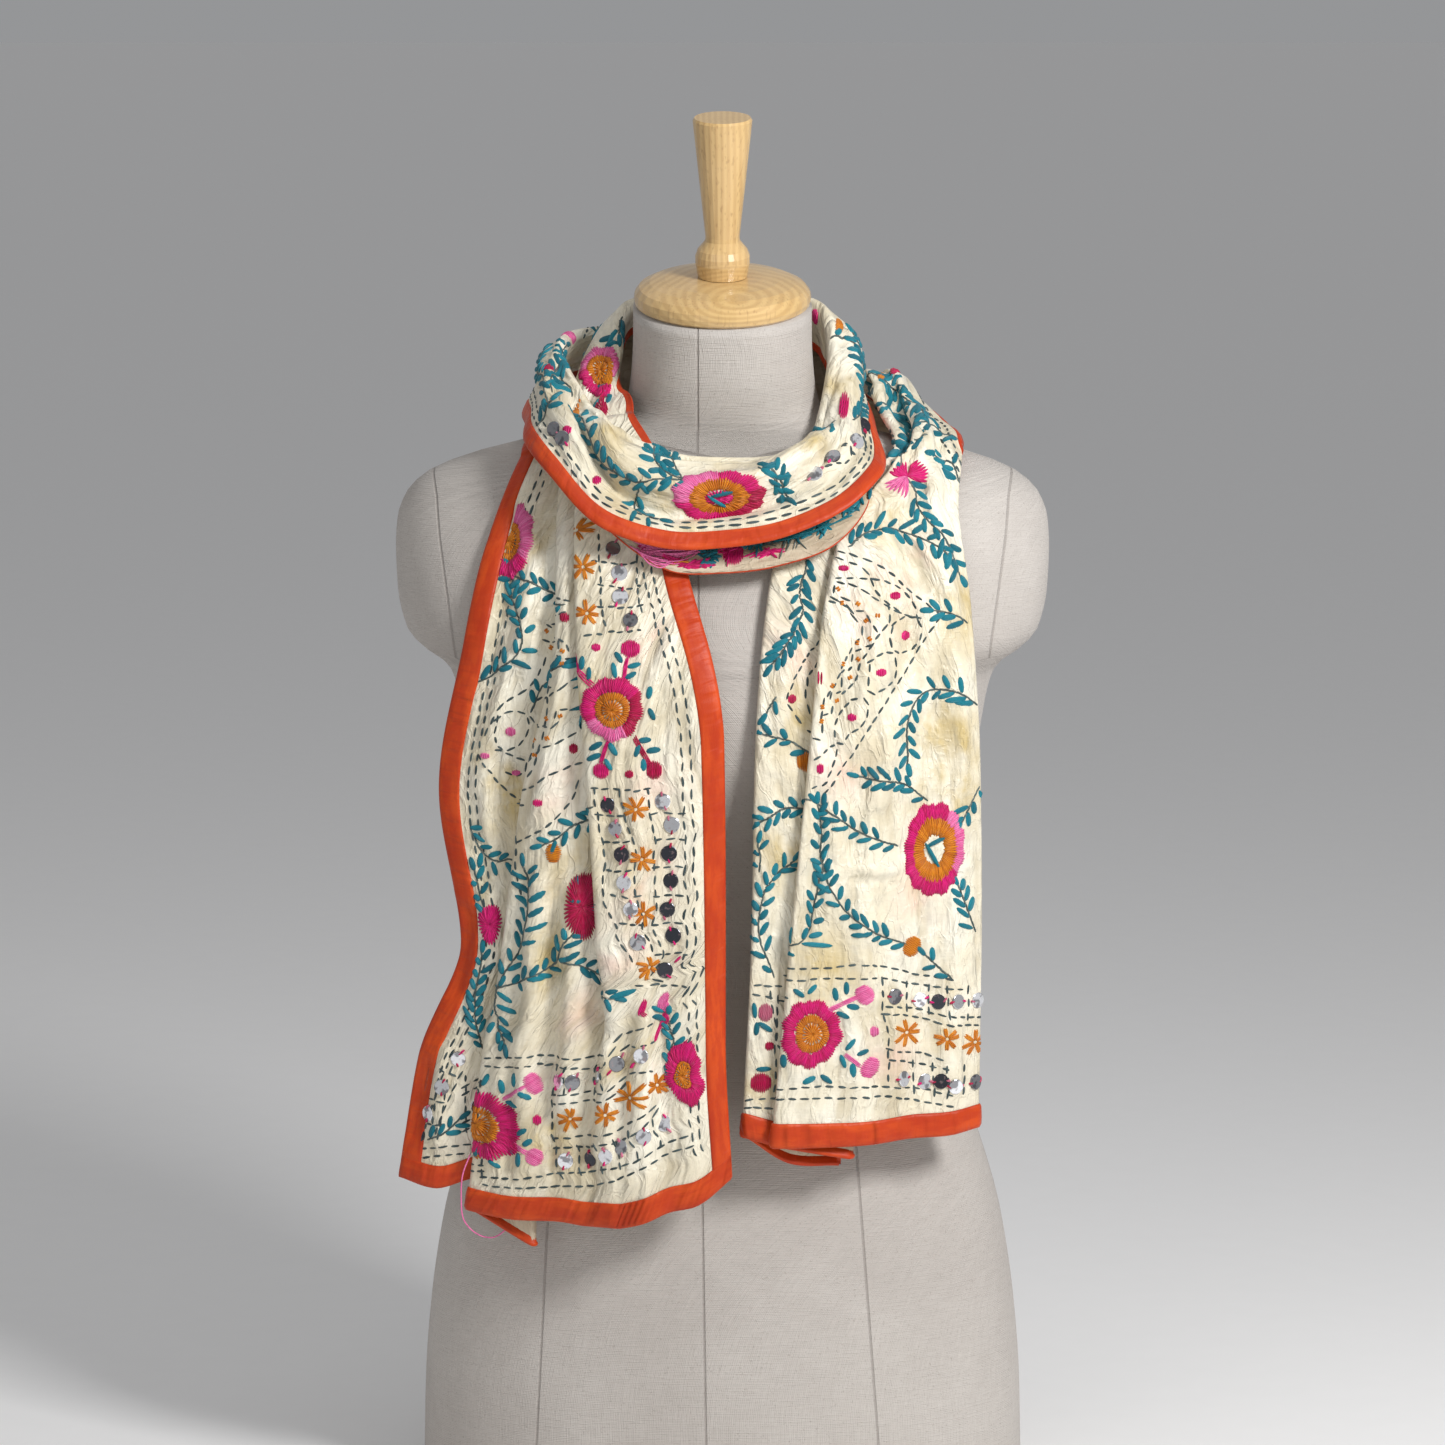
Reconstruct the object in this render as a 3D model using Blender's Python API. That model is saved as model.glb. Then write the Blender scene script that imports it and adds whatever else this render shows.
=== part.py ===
"""Embroidered stole wound once round the neck of a limbless dress form.

Metres, +Z up, +X to the viewer's right, the viewer at -Y. The origin is the middle of the
form's flat underside.
"""
import math
from collections import namedtuple

import bmesh
import bpy
import numpy as np

# Dress form. Each row is a level section: how high, where its middle lies, how far it reaches
# to the sides, the front and the back, and how far the section leans forward in degrees.
Ring = namedtuple("Ring", "height middle half_width front back lean")
FORM_RINGS = [
    Ring(0.000, 0.0, 0.1885, 0.108, 0.128, 0),
    Ring(0.060, 0.0, 0.1870, 0.110, 0.130, 0),
    Ring(0.110, 0.0, 0.1830, 0.111, 0.130, 0),
    Ring(0.165, 0.0, 0.1745, 0.109, 0.124, 0),
    Ring(0.210, 0.0, 0.1620, 0.105, 0.111, 0),
    Ring(0.250, 0.0, 0.1470, 0.101, 0.096, 0),
    Ring(0.290, 0.0, 0.1350, 0.098, 0.083, 0),
    Ring(0.330, 0.0, 0.1320, 0.099, 0.080, 0),
    Ring(0.380, 0.0, 0.1400, 0.106, 0.086, 0),
    Ring(0.430, 0.0, 0.1510, 0.119, 0.094, 0),
    Ring(0.470, 0.0, 0.1590, 0.130, 0.098, 0),
    Ring(0.498, 0.0, 0.1640, 0.133, 0.100, 0),
    Ring(0.513, 0.0, 0.1700, 0.131, 0.101, 0),
    Ring(0.521, 0.0, 0.1820, 0.129, 0.101, 0),
    Ring(0.534, 0.0, 0.1945, 0.124, 0.101, 0),
    Ring(0.560, 0.0, 0.2003, 0.112, 0.098, 0),
    Ring(0.585, 0.0, 0.2012, 0.100, 0.093, 0),
    Ring(0.602, 0.0, 0.2000, 0.091, 0.087, 0),
    Ring(0.616, 0.0, 0.1950, 0.083, 0.080, 0),
    Ring(0.627, 0.0, 0.1850, 0.076, 0.072, 0),
    Ring(0.635, 0.0, 0.1700, 0.070, 0.064, 0),
    Ring(0.643, 0.0, 0.1460, 0.065, 0.056, 0),
    Ring(0.6495, 0.0, 0.1190, 0.061, 0.050, 0),
    Ring(0.655, -0.002, 0.0900, 0.057, 0.049, 0),
    Ring(0.662, -0.004, 0.0690, 0.055, 0.050, 2),
    Ring(0.672, -0.007, 0.0595, 0.0545, 0.052, 5),
    Ring(0.690, -0.012, 0.0560, 0.0550, 0.0540, 8),
    Ring(0.712, -0.017, 0.0545, 0.0555, 0.0550, 11),
    Ring(0.732, -0.022, 0.0543, 0.057, 0.057, 12),
]
SQUARENESS = 2.25
FORM_SIDES = 36
RING_STEP = 0.030

# Wooden neck cap and handle, turned on the neck's own axis. Heights are along that axis.
Turn = namedtuple("Turn", "height radius")
CAP_HALF_WIDTH = 0.0540
CAP_HALF_DEPTH = 0.0580
CAP_PROFILE = [
    Turn(0.0000, 0.940),
    Turn(0.0018, 0.985),
    Turn(0.0050, 1.000),
    Turn(0.0085, 0.990),
    Turn(0.0120, 0.940),
    Turn(0.0150, 0.820),
    Turn(0.0170, 0.650),
    Turn(0.0180, 0.450),
]
HANDLE_PROFILE = [
    Turn(0.0000, 0.0150),
    Turn(0.0025, 0.0154),
    Turn(0.0050, 0.0158),
    Turn(0.0085, 0.0166),
    Turn(0.0130, 0.0166),
    Turn(0.0170, 0.0152),
    Turn(0.0200, 0.0126),
    Turn(0.0225, 0.0106),
    Turn(0.0250, 0.0104),
    Turn(0.0600, 0.0142),
    Turn(0.0940, 0.0178),
    Turn(0.0965, 0.0180),
    Turn(0.0980, 0.0170),
]
CAP_SIDES = 40
HANDLE_SIDES = 28

# Cloth
SEAM_GAP = 0.0003
JOINT_GAP = 0.0008
CLOTH_WALL = 0.0010
BINDING_WALL = 0.0010
BINDING_WIDTH = 0.0140
CLEAR_OF_FORM = 0.0022
SIDE_REACH = 0.140
SIDE_FALL = 0.35

# Tails. Each has a row for each crease, from its outer edge to its inner one: how far it
# stands off the form at the top and at the hem, how tightly the cloth turns there on the
# chest and at the hem (0 is a soft ridge or valley, minus is a turn to the layer behind),
# the height of its hem, and its place across at each of the tail's table heights. A tail's
# own row has those heights, how far apart the rows of its sheet lie at each of them, where it
# starts front to back and how that changes across, the height of its hump, and which of its
# section's points carry on as the points of a wrap.
Crease = namedtuple("Crease", "name lift_top lift_hem turn_chest turn_hem hem across")
Tail = namedtuple("Tail", "name heights rows_apart start_y start_slope hump joins creases")
LEFT_TAIL = Tail("left_tail", (.652, .600, .550, .455, .360, .280, .200),
                 (.006, .012, .026, .030, .014, .018, .028), -.047, 0.0, 0.0,
                 (0, 2, 4, 7, 9, 12, 15, 17, 19, 20), [
    Crease("outer edge", .0020, .0060, 0, 0, .205, (-.1210, -.143, -.154, -.170, -.158, -.184, -.197)),
    Crease("side ridge", .0035, .0110, 0, 0, .201, (-.1080, -.125, -.135, -.150, -.139, -.163, -.174)),
    Crease("side valley", .0020, .0040, 0, 0, .207, (-.1035, -.110, -.116, -.133, -.124, -.140, -.145)),
    Crease("lower tuck", .0039, .0078, .0020, .0030, .171,
           (-.0990, -.088, -.085, -.098, -.106, -.112, -.113)),
    Crease("front fold", .0080, .0140, .0019, .0026, .190,
           (-.0945, -.099, -.099, -.120, -.133, -.145, -.155)),
    Crease("front ridge", .0114, .0188, 0, 0, .188, (-.0905, -.093, -.093, -.106, -.114, -.124, -.128)),
    Crease("front valley", .0102, .0150, 0, 0, .189, (-.0865, -.086, -.083, -.088, -.093, -.099, -.099)),
    Crease("upper tuck", .0120, .0158, .0020, .0020, .188,
           (-.0825, -.070, -.066, -.060, -.065, -.081, -.082)),
    Crease("band fold", .0161, .0200, .0019, .0019, .189,
           (-.0785, -.088, -.087, -.080, -.074, -.066, -.063)),
    Crease("band ridge", .0186, .0215, 0, 0, .193, (-.0745, -.074, -.071, -.058, -.054, -.050, -.047)),
    Crease("band valley", .0158, .0160, 0, 0, .199, (-.0705, -.061, -.055, -.038, -.034, -.036, -.032)),
    Crease("edge ridge", .0150, .0165, 0, 0, .204, (-.0660, -.049, -.040, -.019, -.018, -.018, -.014)),
    Crease("inner edge", .0130, .0120, 0, 0, .219, (-.0540, -.033, -.022, .000, .001, .001, .005)),
])
# The right tail starts behind the shoulder, where gathered cloth stands up beside the neck.
RIGHT_TAIL = Tail("right_tail", (.660, .640, .600, .550, .455, .360, .237),
                  (.009, .008, .010, .022, .034, .036, .036), .030, 0.65, 0.030,
                  (0, 2, 4, 6, 9, 15, 16, 17, 18, 19), [
    Crease("hidden outer edge", .0034, .0054, 0, 0, .243, (.1260, .1370, .108, .098, .094, .092, .088)),
    Crease("right fold", .0072, .0088, .0019, .0022, .240,
           (.1225, .1455, .1420, .1480, .1545, .1560, .1550)),
    Crease("right ridge", .0115, .0175, 0, 0, .2385, (.1185, .1395, .129, .131, .137, .137, .137)),
    Crease("right valley", .0105, .0135, 0, 0, .2385, (.1145, .1340, .115, .113, .117, .115, .113)),
    Crease("middle ridge", .0134, .0190, 0, 0, .238, (.1105, .1285, .102, .096, .096, .091, .088)),
    Crease("middle valley", .0129, .0168, 0, 0, .238, (.1065, .1230, .089, .080, .075, .068, .061)),
    Crease("front fold", .0125, .0150, -.0018, -.0022, .2385,
           (.1020, .1160, .074, .061, .0505, .041, .0295)),
    Crease("tuck", .0084, .0100, -.0020, -.0028, .229, (.0980, .1185, .090, .086, .084, .081, .078)),
    Crease("left layer", .0068, .0072, 0, 0, .236, (.0935, .1120, .068, .056, .046, .043, .038)),
    Crease("inner fold", .0050, .0058, -.0018, -.0018, .243,
           (.0870, .1040, .048, .028, .0195, .0178, .012)),
    Crease("back valley", .0022, .0026, 0, 0, .226, (.0950, .1120, .062, .050, .046, .044, .040)),
    Crease("hidden inner edge", .0014, .0016, 0, 0, .223, (.1050, .1230, .080, .076, .074, .072, .070)),
])
HUMP_FOOT = 0.147
HUMP_TOP = 0.110
HUMP_END = 0.15
TURN_OPENS = 0.0060

# Wraps. Each row is a section that leans on the neck: its angle round the neck (0 at the
# front, 90 at the viewer's left, 180 behind, 270 at the right), then the distance from the
# neck's axis and the height of its lower edge, its crest and its hidden under edge, and how
# far the outer face bellies out.
NECK_AXIS_Y = -0.005
Wrap = namedtuple("Wrap", "angle low_r low_z crest_r crest_z under_r under_z belly")
INNER_WRAP = [
    Wrap(78, 0.110, 0.662, 0.067, 0.706, 0.065, 0.688, 0.004),
    Wrap(94, 0.102, 0.665, 0.065, 0.723, 0.062, 0.704, 0.005),
    Wrap(114, 0.095, 0.665, 0.063, 0.733, 0.060, 0.713, 0.006),
    Wrap(146, 0.087, 0.661, 0.062, 0.735, 0.058, 0.713, 0.006),
    Wrap(180, 0.081, 0.659, 0.061, 0.735, 0.057, 0.710, 0.006),
    Wrap(214, 0.083, 0.659, 0.062, 0.735, 0.058, 0.708, 0.007),
    Wrap(242, 0.085, 0.662, 0.065, 0.733, 0.062, 0.704, 0.009),
]
FRONT_LOOP = [
    Wrap(262, 0.090, 0.663, 0.068, 0.722, 0.064, 0.694, 0.010),
    Wrap(278, 0.093, 0.659, 0.069, 0.705, 0.068, 0.681, 0.010),
    Wrap(293, 0.101, 0.655, 0.071, 0.688, 0.077, 0.664, 0.010),
    Wrap(306, 0.120, 0.643, 0.075, 0.670, 0.103, 0.647, 0.010),
    Wrap(318, 0.138, 0.635, 0.083, 0.657, 0.130, 0.620, 0.011),
    Wrap(330, 0.142, 0.618, 0.087, 0.648, 0.132, 0.596, 0.012),
    Wrap(345, 0.136, 0.603, 0.084, 0.645, 0.124, 0.584, 0.013),
    Wrap(360, 0.132, 0.597, 0.083, 0.645, 0.120, 0.580, 0.013),
    Wrap(375, 0.137, 0.597, 0.091, 0.647, 0.126, 0.582, 0.013),
    Wrap(390, 0.147, 0.610, 0.101, 0.656, 0.1375, 0.607, 0.012),
    Wrap(405, 0.1455, 0.638, 0.106, 0.671, 0.1365, 0.638, 0.010),
    Wrap(420, 0.136, 0.653, 0.105, 0.691, 0.1265, 0.655, 0.008),
    Wrap(437, 0.122, 0.660, 0.102, 0.705, 0.112, 0.667, 0.007),
]
BACK_WRAP = [
    Wrap(456, 0.122, 0.664, 0.097, 0.713, 0.108, 0.680, 0.006),
    Wrap(480, 0.118, 0.660, 0.092, 0.715, 0.100, 0.686, 0.006),
    Wrap(510, 0.116, 0.654, 0.090, 0.714, 0.094, 0.688, 0.007),
    Wrap(540, 0.114, 0.648, 0.088, 0.713, 0.092, 0.686, 0.007),
    Wrap(566, 0.122, 0.644, 0.091, 0.711, 0.095, 0.688, 0.007),
]
# Shape of a wrap's outer face from its lower edge to its crest: share of the way and share
# of the belly. The cloth dips above its bound edge and then rolls over it.
FACE_PROFILE = ((0.0, 0.0), (0.25, 0.20), (0.40, 0.25), (0.56, 0.85), (0.78, 1.00))
BEYOND_START = 0.025
# The turn over the crest, in parts of its radius, then where the turned-in leg sags.
CREST_TURN = 0.0042
CREST_PROFILE = ((1.0, -0.8), (0.0, 0.0), (-0.9, -1.0))
LEG_SHARE = 0.4
LEG_SAG = 0.0013
STEP_ALONG = 0.016
GUIDE = 0.5
WIDEST_STEP = 0.022
CURVE_STEPS = 8
COLUMN_SLACK = 0.3
EDGE_SHARE = 0.8

# Colours as they look in soft daylight, then roughness
CREAM = (0.80, 0.74, 0.60)
ORANGE = (0.80, 0.13, 0.02)
LINEN = (0.56, 0.52, 0.49)
PALE_WOOD = (0.72, 0.50, 0.26)
CLOTH_ROUGHNESS = 0.55
BINDING_ROUGHNESS = 0.38
LINEN_ROUGHNESS = 0.9
WOOD_ROUGHNESS = 0.3
# Edges that turn more than this many degrees are shaded sharp
SOFT_EDGE = 60
HARD_EDGE = 40


def clear_scene():
    for thing in list(bpy.data.objects):
        bpy.data.objects.remove(thing, do_unlink=True)


def plain_material(name, colour, roughness):
    material = bpy.data.materials.new(name)
    material.use_nodes = True
    shader = material.node_tree.nodes["Principled BSDF"]
    shader.inputs["Base Color"].default_value = (*colour, 1)
    shader.inputs["Roughness"].default_value = roughness
    shader.inputs["Metallic"].default_value = 0
    material.diffuse_color = (*colour, 1)
    return material


def add_object(name, points, faces, material, sharp_degrees=SOFT_EDGE):
    mesh = bpy.data.meshes.new(name)
    mesh.from_pydata([tuple(map(float, p)) for p in points], [], faces)
    work = bmesh.new()
    work.from_mesh(mesh)
    bmesh.ops.recalc_face_normals(work, faces=work.faces)
    if work.calc_volume(signed=True) < 0:
        bmesh.ops.reverse_faces(work, faces=work.faces)
    work.to_mesh(mesh)
    work.free()
    mesh.shade_smooth()
    mesh.set_sharp_from_angle(angle=math.radians(sharp_degrees))
    mesh.materials.append(material)
    thing = bpy.data.objects.new(name, mesh)
    bpy.context.scene.collection.objects.link(thing)
    return thing


def smooth_through(places, values, at):
    """Cubic curve through a table's values that never swings past them."""
    places = np.asarray(places, float)
    values = np.asarray(values, float)
    widths = np.diff(places)
    slopes = np.diff(values) / widths
    tangents = np.zeros(len(values))
    tangents[0] = slopes[0]
    tangents[-1] = slopes[-1]
    for i in range(1, len(values) - 1):
        before, after = slopes[i - 1], slopes[i]
        if before * after > 0:
            tangents[i] = 2 * before * after / (before + after)
    at = min(max(at, places[0]), places[-1])
    i = min(int(np.searchsorted(places, at, side="right")) - 1, len(widths) - 1)
    t = (at - places[i]) / widths[i]
    return ((2 * t**3 - 3 * t**2 + 1) * values[i]
            + (t**3 - 2 * t**2 + t) * widths[i] * tangents[i]
            + (3 * t**2 - 2 * t**3) * values[i + 1]
            + (t**3 - t**2) * widths[i] * tangents[i + 1])


def ease(t):
    t = min(max(t, 0.0), 1.0)
    return t * t * (3 - 2 * t)


def curve_point(points, at):
    """Point at a place (a whole number is a table point) on a smooth curve through points."""
    i = min(max(int(math.floor(at)), 0), len(points) - 2)
    t = at - i
    p1, p2 = points[i], points[i + 1]
    chord = np.linalg.norm(p2 - p1) + 1e-9
    start = end = p2 - p1
    if i > 0:
        before = points[i - 1]
        reach = np.linalg.norm(p1 - before) + 1e-9
        start = chord * (p2 - before) / (reach + chord)
    if i < len(points) - 2:
        after = points[i + 2]
        reach = np.linalg.norm(after - p2) + 1e-9
        end = chord * (after - p1) / (reach + chord)
    return ((2 * t**3 - 3 * t**2 + 1) * p1 + (t**3 - 2 * t**2 + t) * start
            + (3 * t**2 - 2 * t**3) * p2 + (t**3 - t**2) * end)


# The form's covered body

RING_HEIGHTS = [ring.height for ring in FORM_RINGS]


def form_size(column, height):
    return smooth_through(RING_HEIGHTS, [getattr(ring, column) for ring in FORM_RINGS], height)


def form_ring(height):
    middle = form_size("middle", height)
    lean = math.radians(form_size("lean", height))
    half_width = form_size("half_width", height)
    front = form_size("front", height)
    back = form_size("back", height)
    power = 2 / SQUARENESS
    points = []
    for k in range(FORM_SIDES):
        angle = 2 * math.pi * k / FORM_SIDES
        side, depth = math.cos(angle), math.sin(angle)
        x = half_width * math.copysign(abs(side) ** power, side)
        y = (back if depth > 0 else front) * math.copysign(abs(depth) ** power, depth)
        points.append((x, middle + y * math.cos(lean), height + y * math.sin(lean)))
    return points


def form_heights():
    heights = []
    for low, high in zip(RING_HEIGHTS, RING_HEIGHTS[1:]):
        steps = max(1, round((high - low) / RING_STEP))
        heights += [low + (high - low) * k / steps for k in range(steps)]
    return heights + [RING_HEIGHTS[-1]]


def lofted_rings(rings):
    """Closed solid through rings that all have the same number of points."""
    count = len(rings[0])
    points = [p for ring in rings for p in ring]
    faces = []
    for r in range(len(rings) - 1):
        for k in range(count):
            after = (k + 1) % count
            faces.append((r * count + k, r * count + after,
                          (r + 1) * count + after, (r + 1) * count + k))
    for r, turned in ((0, True), (len(rings) - 1, False)):
        rim = [r * count + k for k in range(count)]
        faces.append(tuple(reversed(rim)) if turned else tuple(rim))
    return points, faces


def form_front(x, height):
    """The form's front face at a place across, or None past its side."""
    share = abs(x) / form_size("half_width", height)
    if share >= 1:
        return None
    depth = (1 - share ** SQUARENESS) ** (1 / SQUARENESS)
    return form_size("middle", height) - form_size("front", height) * depth


def form_back(x, height):
    share = abs(x) / form_size("half_width", height)
    if share >= 1:
        return None
    depth = (1 - share ** SQUARENESS) ** (1 / SQUARENESS)
    return form_size("middle", height) + form_size("back", height) * depth


def on_neck_axis(x, y, up):
    """Point of the leaning cap and handle: across, forward and up its own axis."""
    top = FORM_RINGS[-1]
    lean = math.radians(top.lean)
    base = top.height + SEAM_GAP
    return (x, top.middle + y * math.cos(lean) - up * math.sin(lean),
            base + y * math.sin(lean) + up * math.cos(lean))


def turned_rings(profile, half_width, half_depth, sides, start):
    rings = []
    for row in profile:
        ring = []
        for k in range(sides):
            angle = 2 * math.pi * k / sides
            x = half_width * row.radius * math.cos(angle)
            y = half_depth * row.radius * math.sin(angle)
            ring.append(on_neck_axis(x, y, start + row.height))
        rings.append(ring)
    return rings


# How the cloth lies: a taut line over the form at each place across, then a plumb line

PATH_STEP = 0.004
PATH_SPACING = 0.002
TYPICAL_REACH = 0.090
LIFT_SETTLES = 0.8
TURN_CHANGES = 0.45
PATH_TOP = 0.672
PATH_END = 0.150
PATH_FINE = 0.0015
PATH_SMOOTHINGS = 6
BACK_REACH = 0.085
PATHS = {}


def taut_path(reach):
    """Line in the front-to-back plane at this distance from the middle, with its lengths."""
    key = round(reach / PATH_SPACING)
    if key in PATHS:
        return PATHS[key]
    reach = key * PATH_SPACING
    back, front = [], []
    bust = min(FORM_RINGS, key=lambda ring: -ring.front).height
    height = bust
    while height < PATH_TOP:
        if form_back(reach, height) is not None:
            back.append((form_back(reach, height), height))
            front.append((form_front(reach, height), height))
        height += PATH_FINE
    line = [p for p in back if p[0] < BACK_REACH] + front[::-1]
    furthest = min(p[0] for p in front)
    line.append((furthest, PATH_END))
    hull = []
    for p in line:
        while len(hull) > 1:
            ax, az = hull[-1][0] - hull[-2][0], hull[-1][1] - hull[-2][1]
            bx, bz = p[0] - hull[-1][0], p[1] - hull[-1][1]
            if ax * bz - az * bx > 0:
                break
            hull.pop()
        hull.append(p)
    hull = np.array(hull)
    lengths = np.concatenate([[0], np.cumsum(np.linalg.norm(np.diff(hull, axis=0), axis=1))])
    even = np.arange(0, lengths[-1], PATH_STEP)
    line = np.column_stack([np.interp(even, lengths, hull[:, k]) for k in (0, 1)])
    for _ in range(PATH_SMOOTHINGS):
        line[1:-1] = 0.25 * line[:-2] + 0.5 * line[1:-1] + 0.25 * line[2:]
    PATHS[key] = (even, line)
    return PATHS[key]


def along_path(reach_key, start_y, hem):
    """A taut line with the lengths at which a tail starts on it and ends."""
    lengths, line = taut_path(reach_key * PATH_SPACING)
    start = np.interp(-start_y, -line[:, 0], lengths)
    crown = int(np.argmax(line[:, 1]))
    end = np.interp(-hem, -line[crown:, 1], lengths[crown:])
    return lengths, line, start, end


def on_path(across, share, start_y, hem, lift):
    """Point at a share of the way from the tail's start to its hem, lifted off the form."""
    reach = min(abs(across), SIDE_REACH)
    low = math.floor(reach / PATH_SPACING)
    blend = reach / PATH_SPACING - low
    total = np.zeros(2)
    for key, weight in ((low, 1 - blend), (low + 1, blend)):
        lengths, line, start, end = along_path(key, start_y, hem)
        at = start + share * (end - start)
        here, ahead, behind = [
            np.array([np.interp(spot, lengths, line[:, k]) for k in (0, 1)])
            for spot in (at, at + PATH_STEP, at - PATH_STEP)]
        run = (ahead - behind) / np.linalg.norm(ahead - behind)
        total += weight * (here + (CLEAR_OF_FORM + lift) * np.array([run[1], -run[0]]))
    return np.array([across, total[0] + (abs(across) - reach) * SIDE_FALL, total[1]])


def shares_of_heights(heights, start_y):
    """Share of the way down a tail at which it reaches each height of its table."""
    key = round(TYPICAL_REACH / PATH_SPACING)
    shares = [0.0]
    for height in heights[1:]:
        start, end = along_path(key, start_y, heights[-1])[2:]
        spot = along_path(key, start_y, height)[3]
        shares.append((spot - start) / (end - start))
    return shares


def tail_length(heights, start_y):
    start, end = along_path(round(TYPICAL_REACH / PATH_SPACING), start_y, heights[-1])[2:]
    return end - start


def hump(tail, across, share):
    """Extra height of the gathered cloth that stands up beside the neck."""
    side = ease((HUMP_FOOT - across) / (HUMP_FOOT - HUMP_TOP))
    return tail.hump * side * (1 - ease(share / HUMP_END))


def tail_section(tail, shares, share):
    """Points of a tail's section: its creases, with three points where the cloth turns."""
    across = [smooth_through(shares, crease.across, share) for crease in tail.creases]
    tops = [crease.across[0] for crease in tail.creases]
    onward = math.copysign(1, tops[-1] - tops[0])
    settle = ease(share / LIFT_SETTLES)
    low = ease((share - TURN_CHANGES) / (1 - TURN_CHANGES))
    points = []
    for k, crease in enumerate(tail.creases):
        lift = crease.lift_top + (crease.lift_hem - crease.lift_top) * settle
        spots = [(across[k], lift)]
        if crease.turn_chest:
            steps = [across[k] - across[k - 1], across[k + 1] - across[k]]
            opened = ease(min(step * onward for step in steps) / TURN_OPENS)
            turn = (crease.turn_chest + (crease.turn_hem - crease.turn_chest) * low) * (1 - opened)
            room = abs(crease.turn_chest)
            came, goes = [min(max(step / (2 * room), -1), 1) * room for step in steps]
            spots = [(across[k] - came, lift - turn), spots[0], (across[k] + goes, lift + turn)]
        for place, height in spots:
            start_y = tail.start_y + (min(max(place, min(tops)), max(tops)) - min(tops)) * tail.start_slope
            points.append(on_path(place, share, start_y, crease.hem, height + hump(tail, place, share)))
    return np.array(points)


# Sheets: a grid of points made into a closed wall, and strips that lie on it


def grid_normals(grid):
    normals = np.cross(np.gradient(grid, axis=1), np.gradient(grid, axis=0))
    return normals / np.linalg.norm(normals, axis=2, keepdims=True)


def wall(name, near, far, material):
    """Closed wall between two grids of points that match."""
    rows, columns = near.shape[:2]
    points = np.concatenate([near.reshape(-1, 3), far.reshape(-1, 3)])
    under = rows * columns
    faces = []
    for r in range(rows - 1):
        for c in range(columns - 1):
            a = r * columns + c
            b = a + 1
            faces.append((a, b, b + columns, a + columns))
            faces.append((under + a, under + a + columns, under + b + columns, under + b))
    rim = [c for c in range(columns)]
    rim += [r * columns + columns - 1 for r in range(1, rows)]
    rim += [(rows - 1) * columns + c for c in range(columns - 2, -1, -1)]
    rim += [r * columns for r in range(rows - 2, 0, -1)]
    for a, b in zip(rim, rim[1:] + rim[:1]):
        faces.append((b, a, under + a, under + b))
    return add_object(name, points, faces, material)


class Section:
    """Smooth curve across the cloth through its crease points, measured along its length."""

    def __init__(self, points):
        points = [np.asarray(p) for p in points]
        self.places = np.linspace(0, len(points) - 1, CURVE_STEPS * (len(points) - 1) + 1)
        self.line = np.array([curve_point(points, place) for place in self.places])
        steps = np.linalg.norm(np.diff(self.line, axis=0), axis=1)
        self.lengths = np.concatenate([[0], np.cumsum(steps)])
        self.width = self.lengths[-1]

    def at_length(self, length):
        return np.array([np.interp(length, self.lengths, self.line[:, k]) for k in range(3)])

    def points(self, places):
        """A row of the sheet's grid: bound edge, the panel between, bound edge."""
        middle = [np.interp(place, self.places, self.lengths) for place in places[1:-1]]
        near = min(BINDING_WIDTH, middle[0] * EDGE_SHARE)
        far = min(BINDING_WIDTH, (self.width - middle[-1]) * EDGE_SHARE)
        lengths = [0, near / 2, near, *middle, self.width - far, self.width - far / 2, self.width]
        return [self.at_length(length) for length in lengths]


def column_places(sections):
    """Places across a panel: every crease point, and more where creases lie far apart."""
    last = round(sections[0].places[-1])
    places = []
    for i in range(last):
        spans = [np.interp(i + 1, s.places, s.lengths) - np.interp(i, s.places, s.lengths)
                 for s in sections]
        steps = max(1, math.ceil(sum(spans) / len(spans) / WIDEST_STEP - COLUMN_SLACK))
        places += [i + k / steps for k in range(steps)]
    return places + [last]


def make_sheet(name, sections, right_side, cloth, binding, bound_end=False):
    """Panel as wide as the cloth, with binding strips laid on its right side at the edges.

    The first section, and the last where no end is bound, only show how the cloth runs on
    past its joint.
    """
    places = column_places(sections)
    grid = np.array([section.points(places) for section in sections])
    normals = grid_normals(grid)
    own = slice(1, None if bound_end else -1)
    grid, normals = grid[own], normals[own]
    half = CLOTH_WALL / 2
    wall(name, grid + normals * half, grid - normals * half, cloth)
    low = grid + normals * right_side * (half + SEAM_GAP)
    high = grid + normals * right_side * (half + SEAM_GAP + BINDING_WALL)
    for edge, columns in (("outer", slice(0, 3)), ("inner", slice(-3, None))):
        wall(f"{name}_{edge}_binding", high[:, columns], low[:, columns], binding)
    if bound_end:
        strips = []
        for face in (high, low):
            strip = face[-3:, 2:-2].copy()
            for rim, beside in ((0, 1), (-1, -2)):
                step = strip[:, beside] - strip[:, rim]
                strip[:, rim] += step * SEAM_GAP / np.linalg.norm(step, axis=1, keepdims=True)
            strips.append(strip)
        wall(f"{name}_end_binding", *strips, binding)


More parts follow.
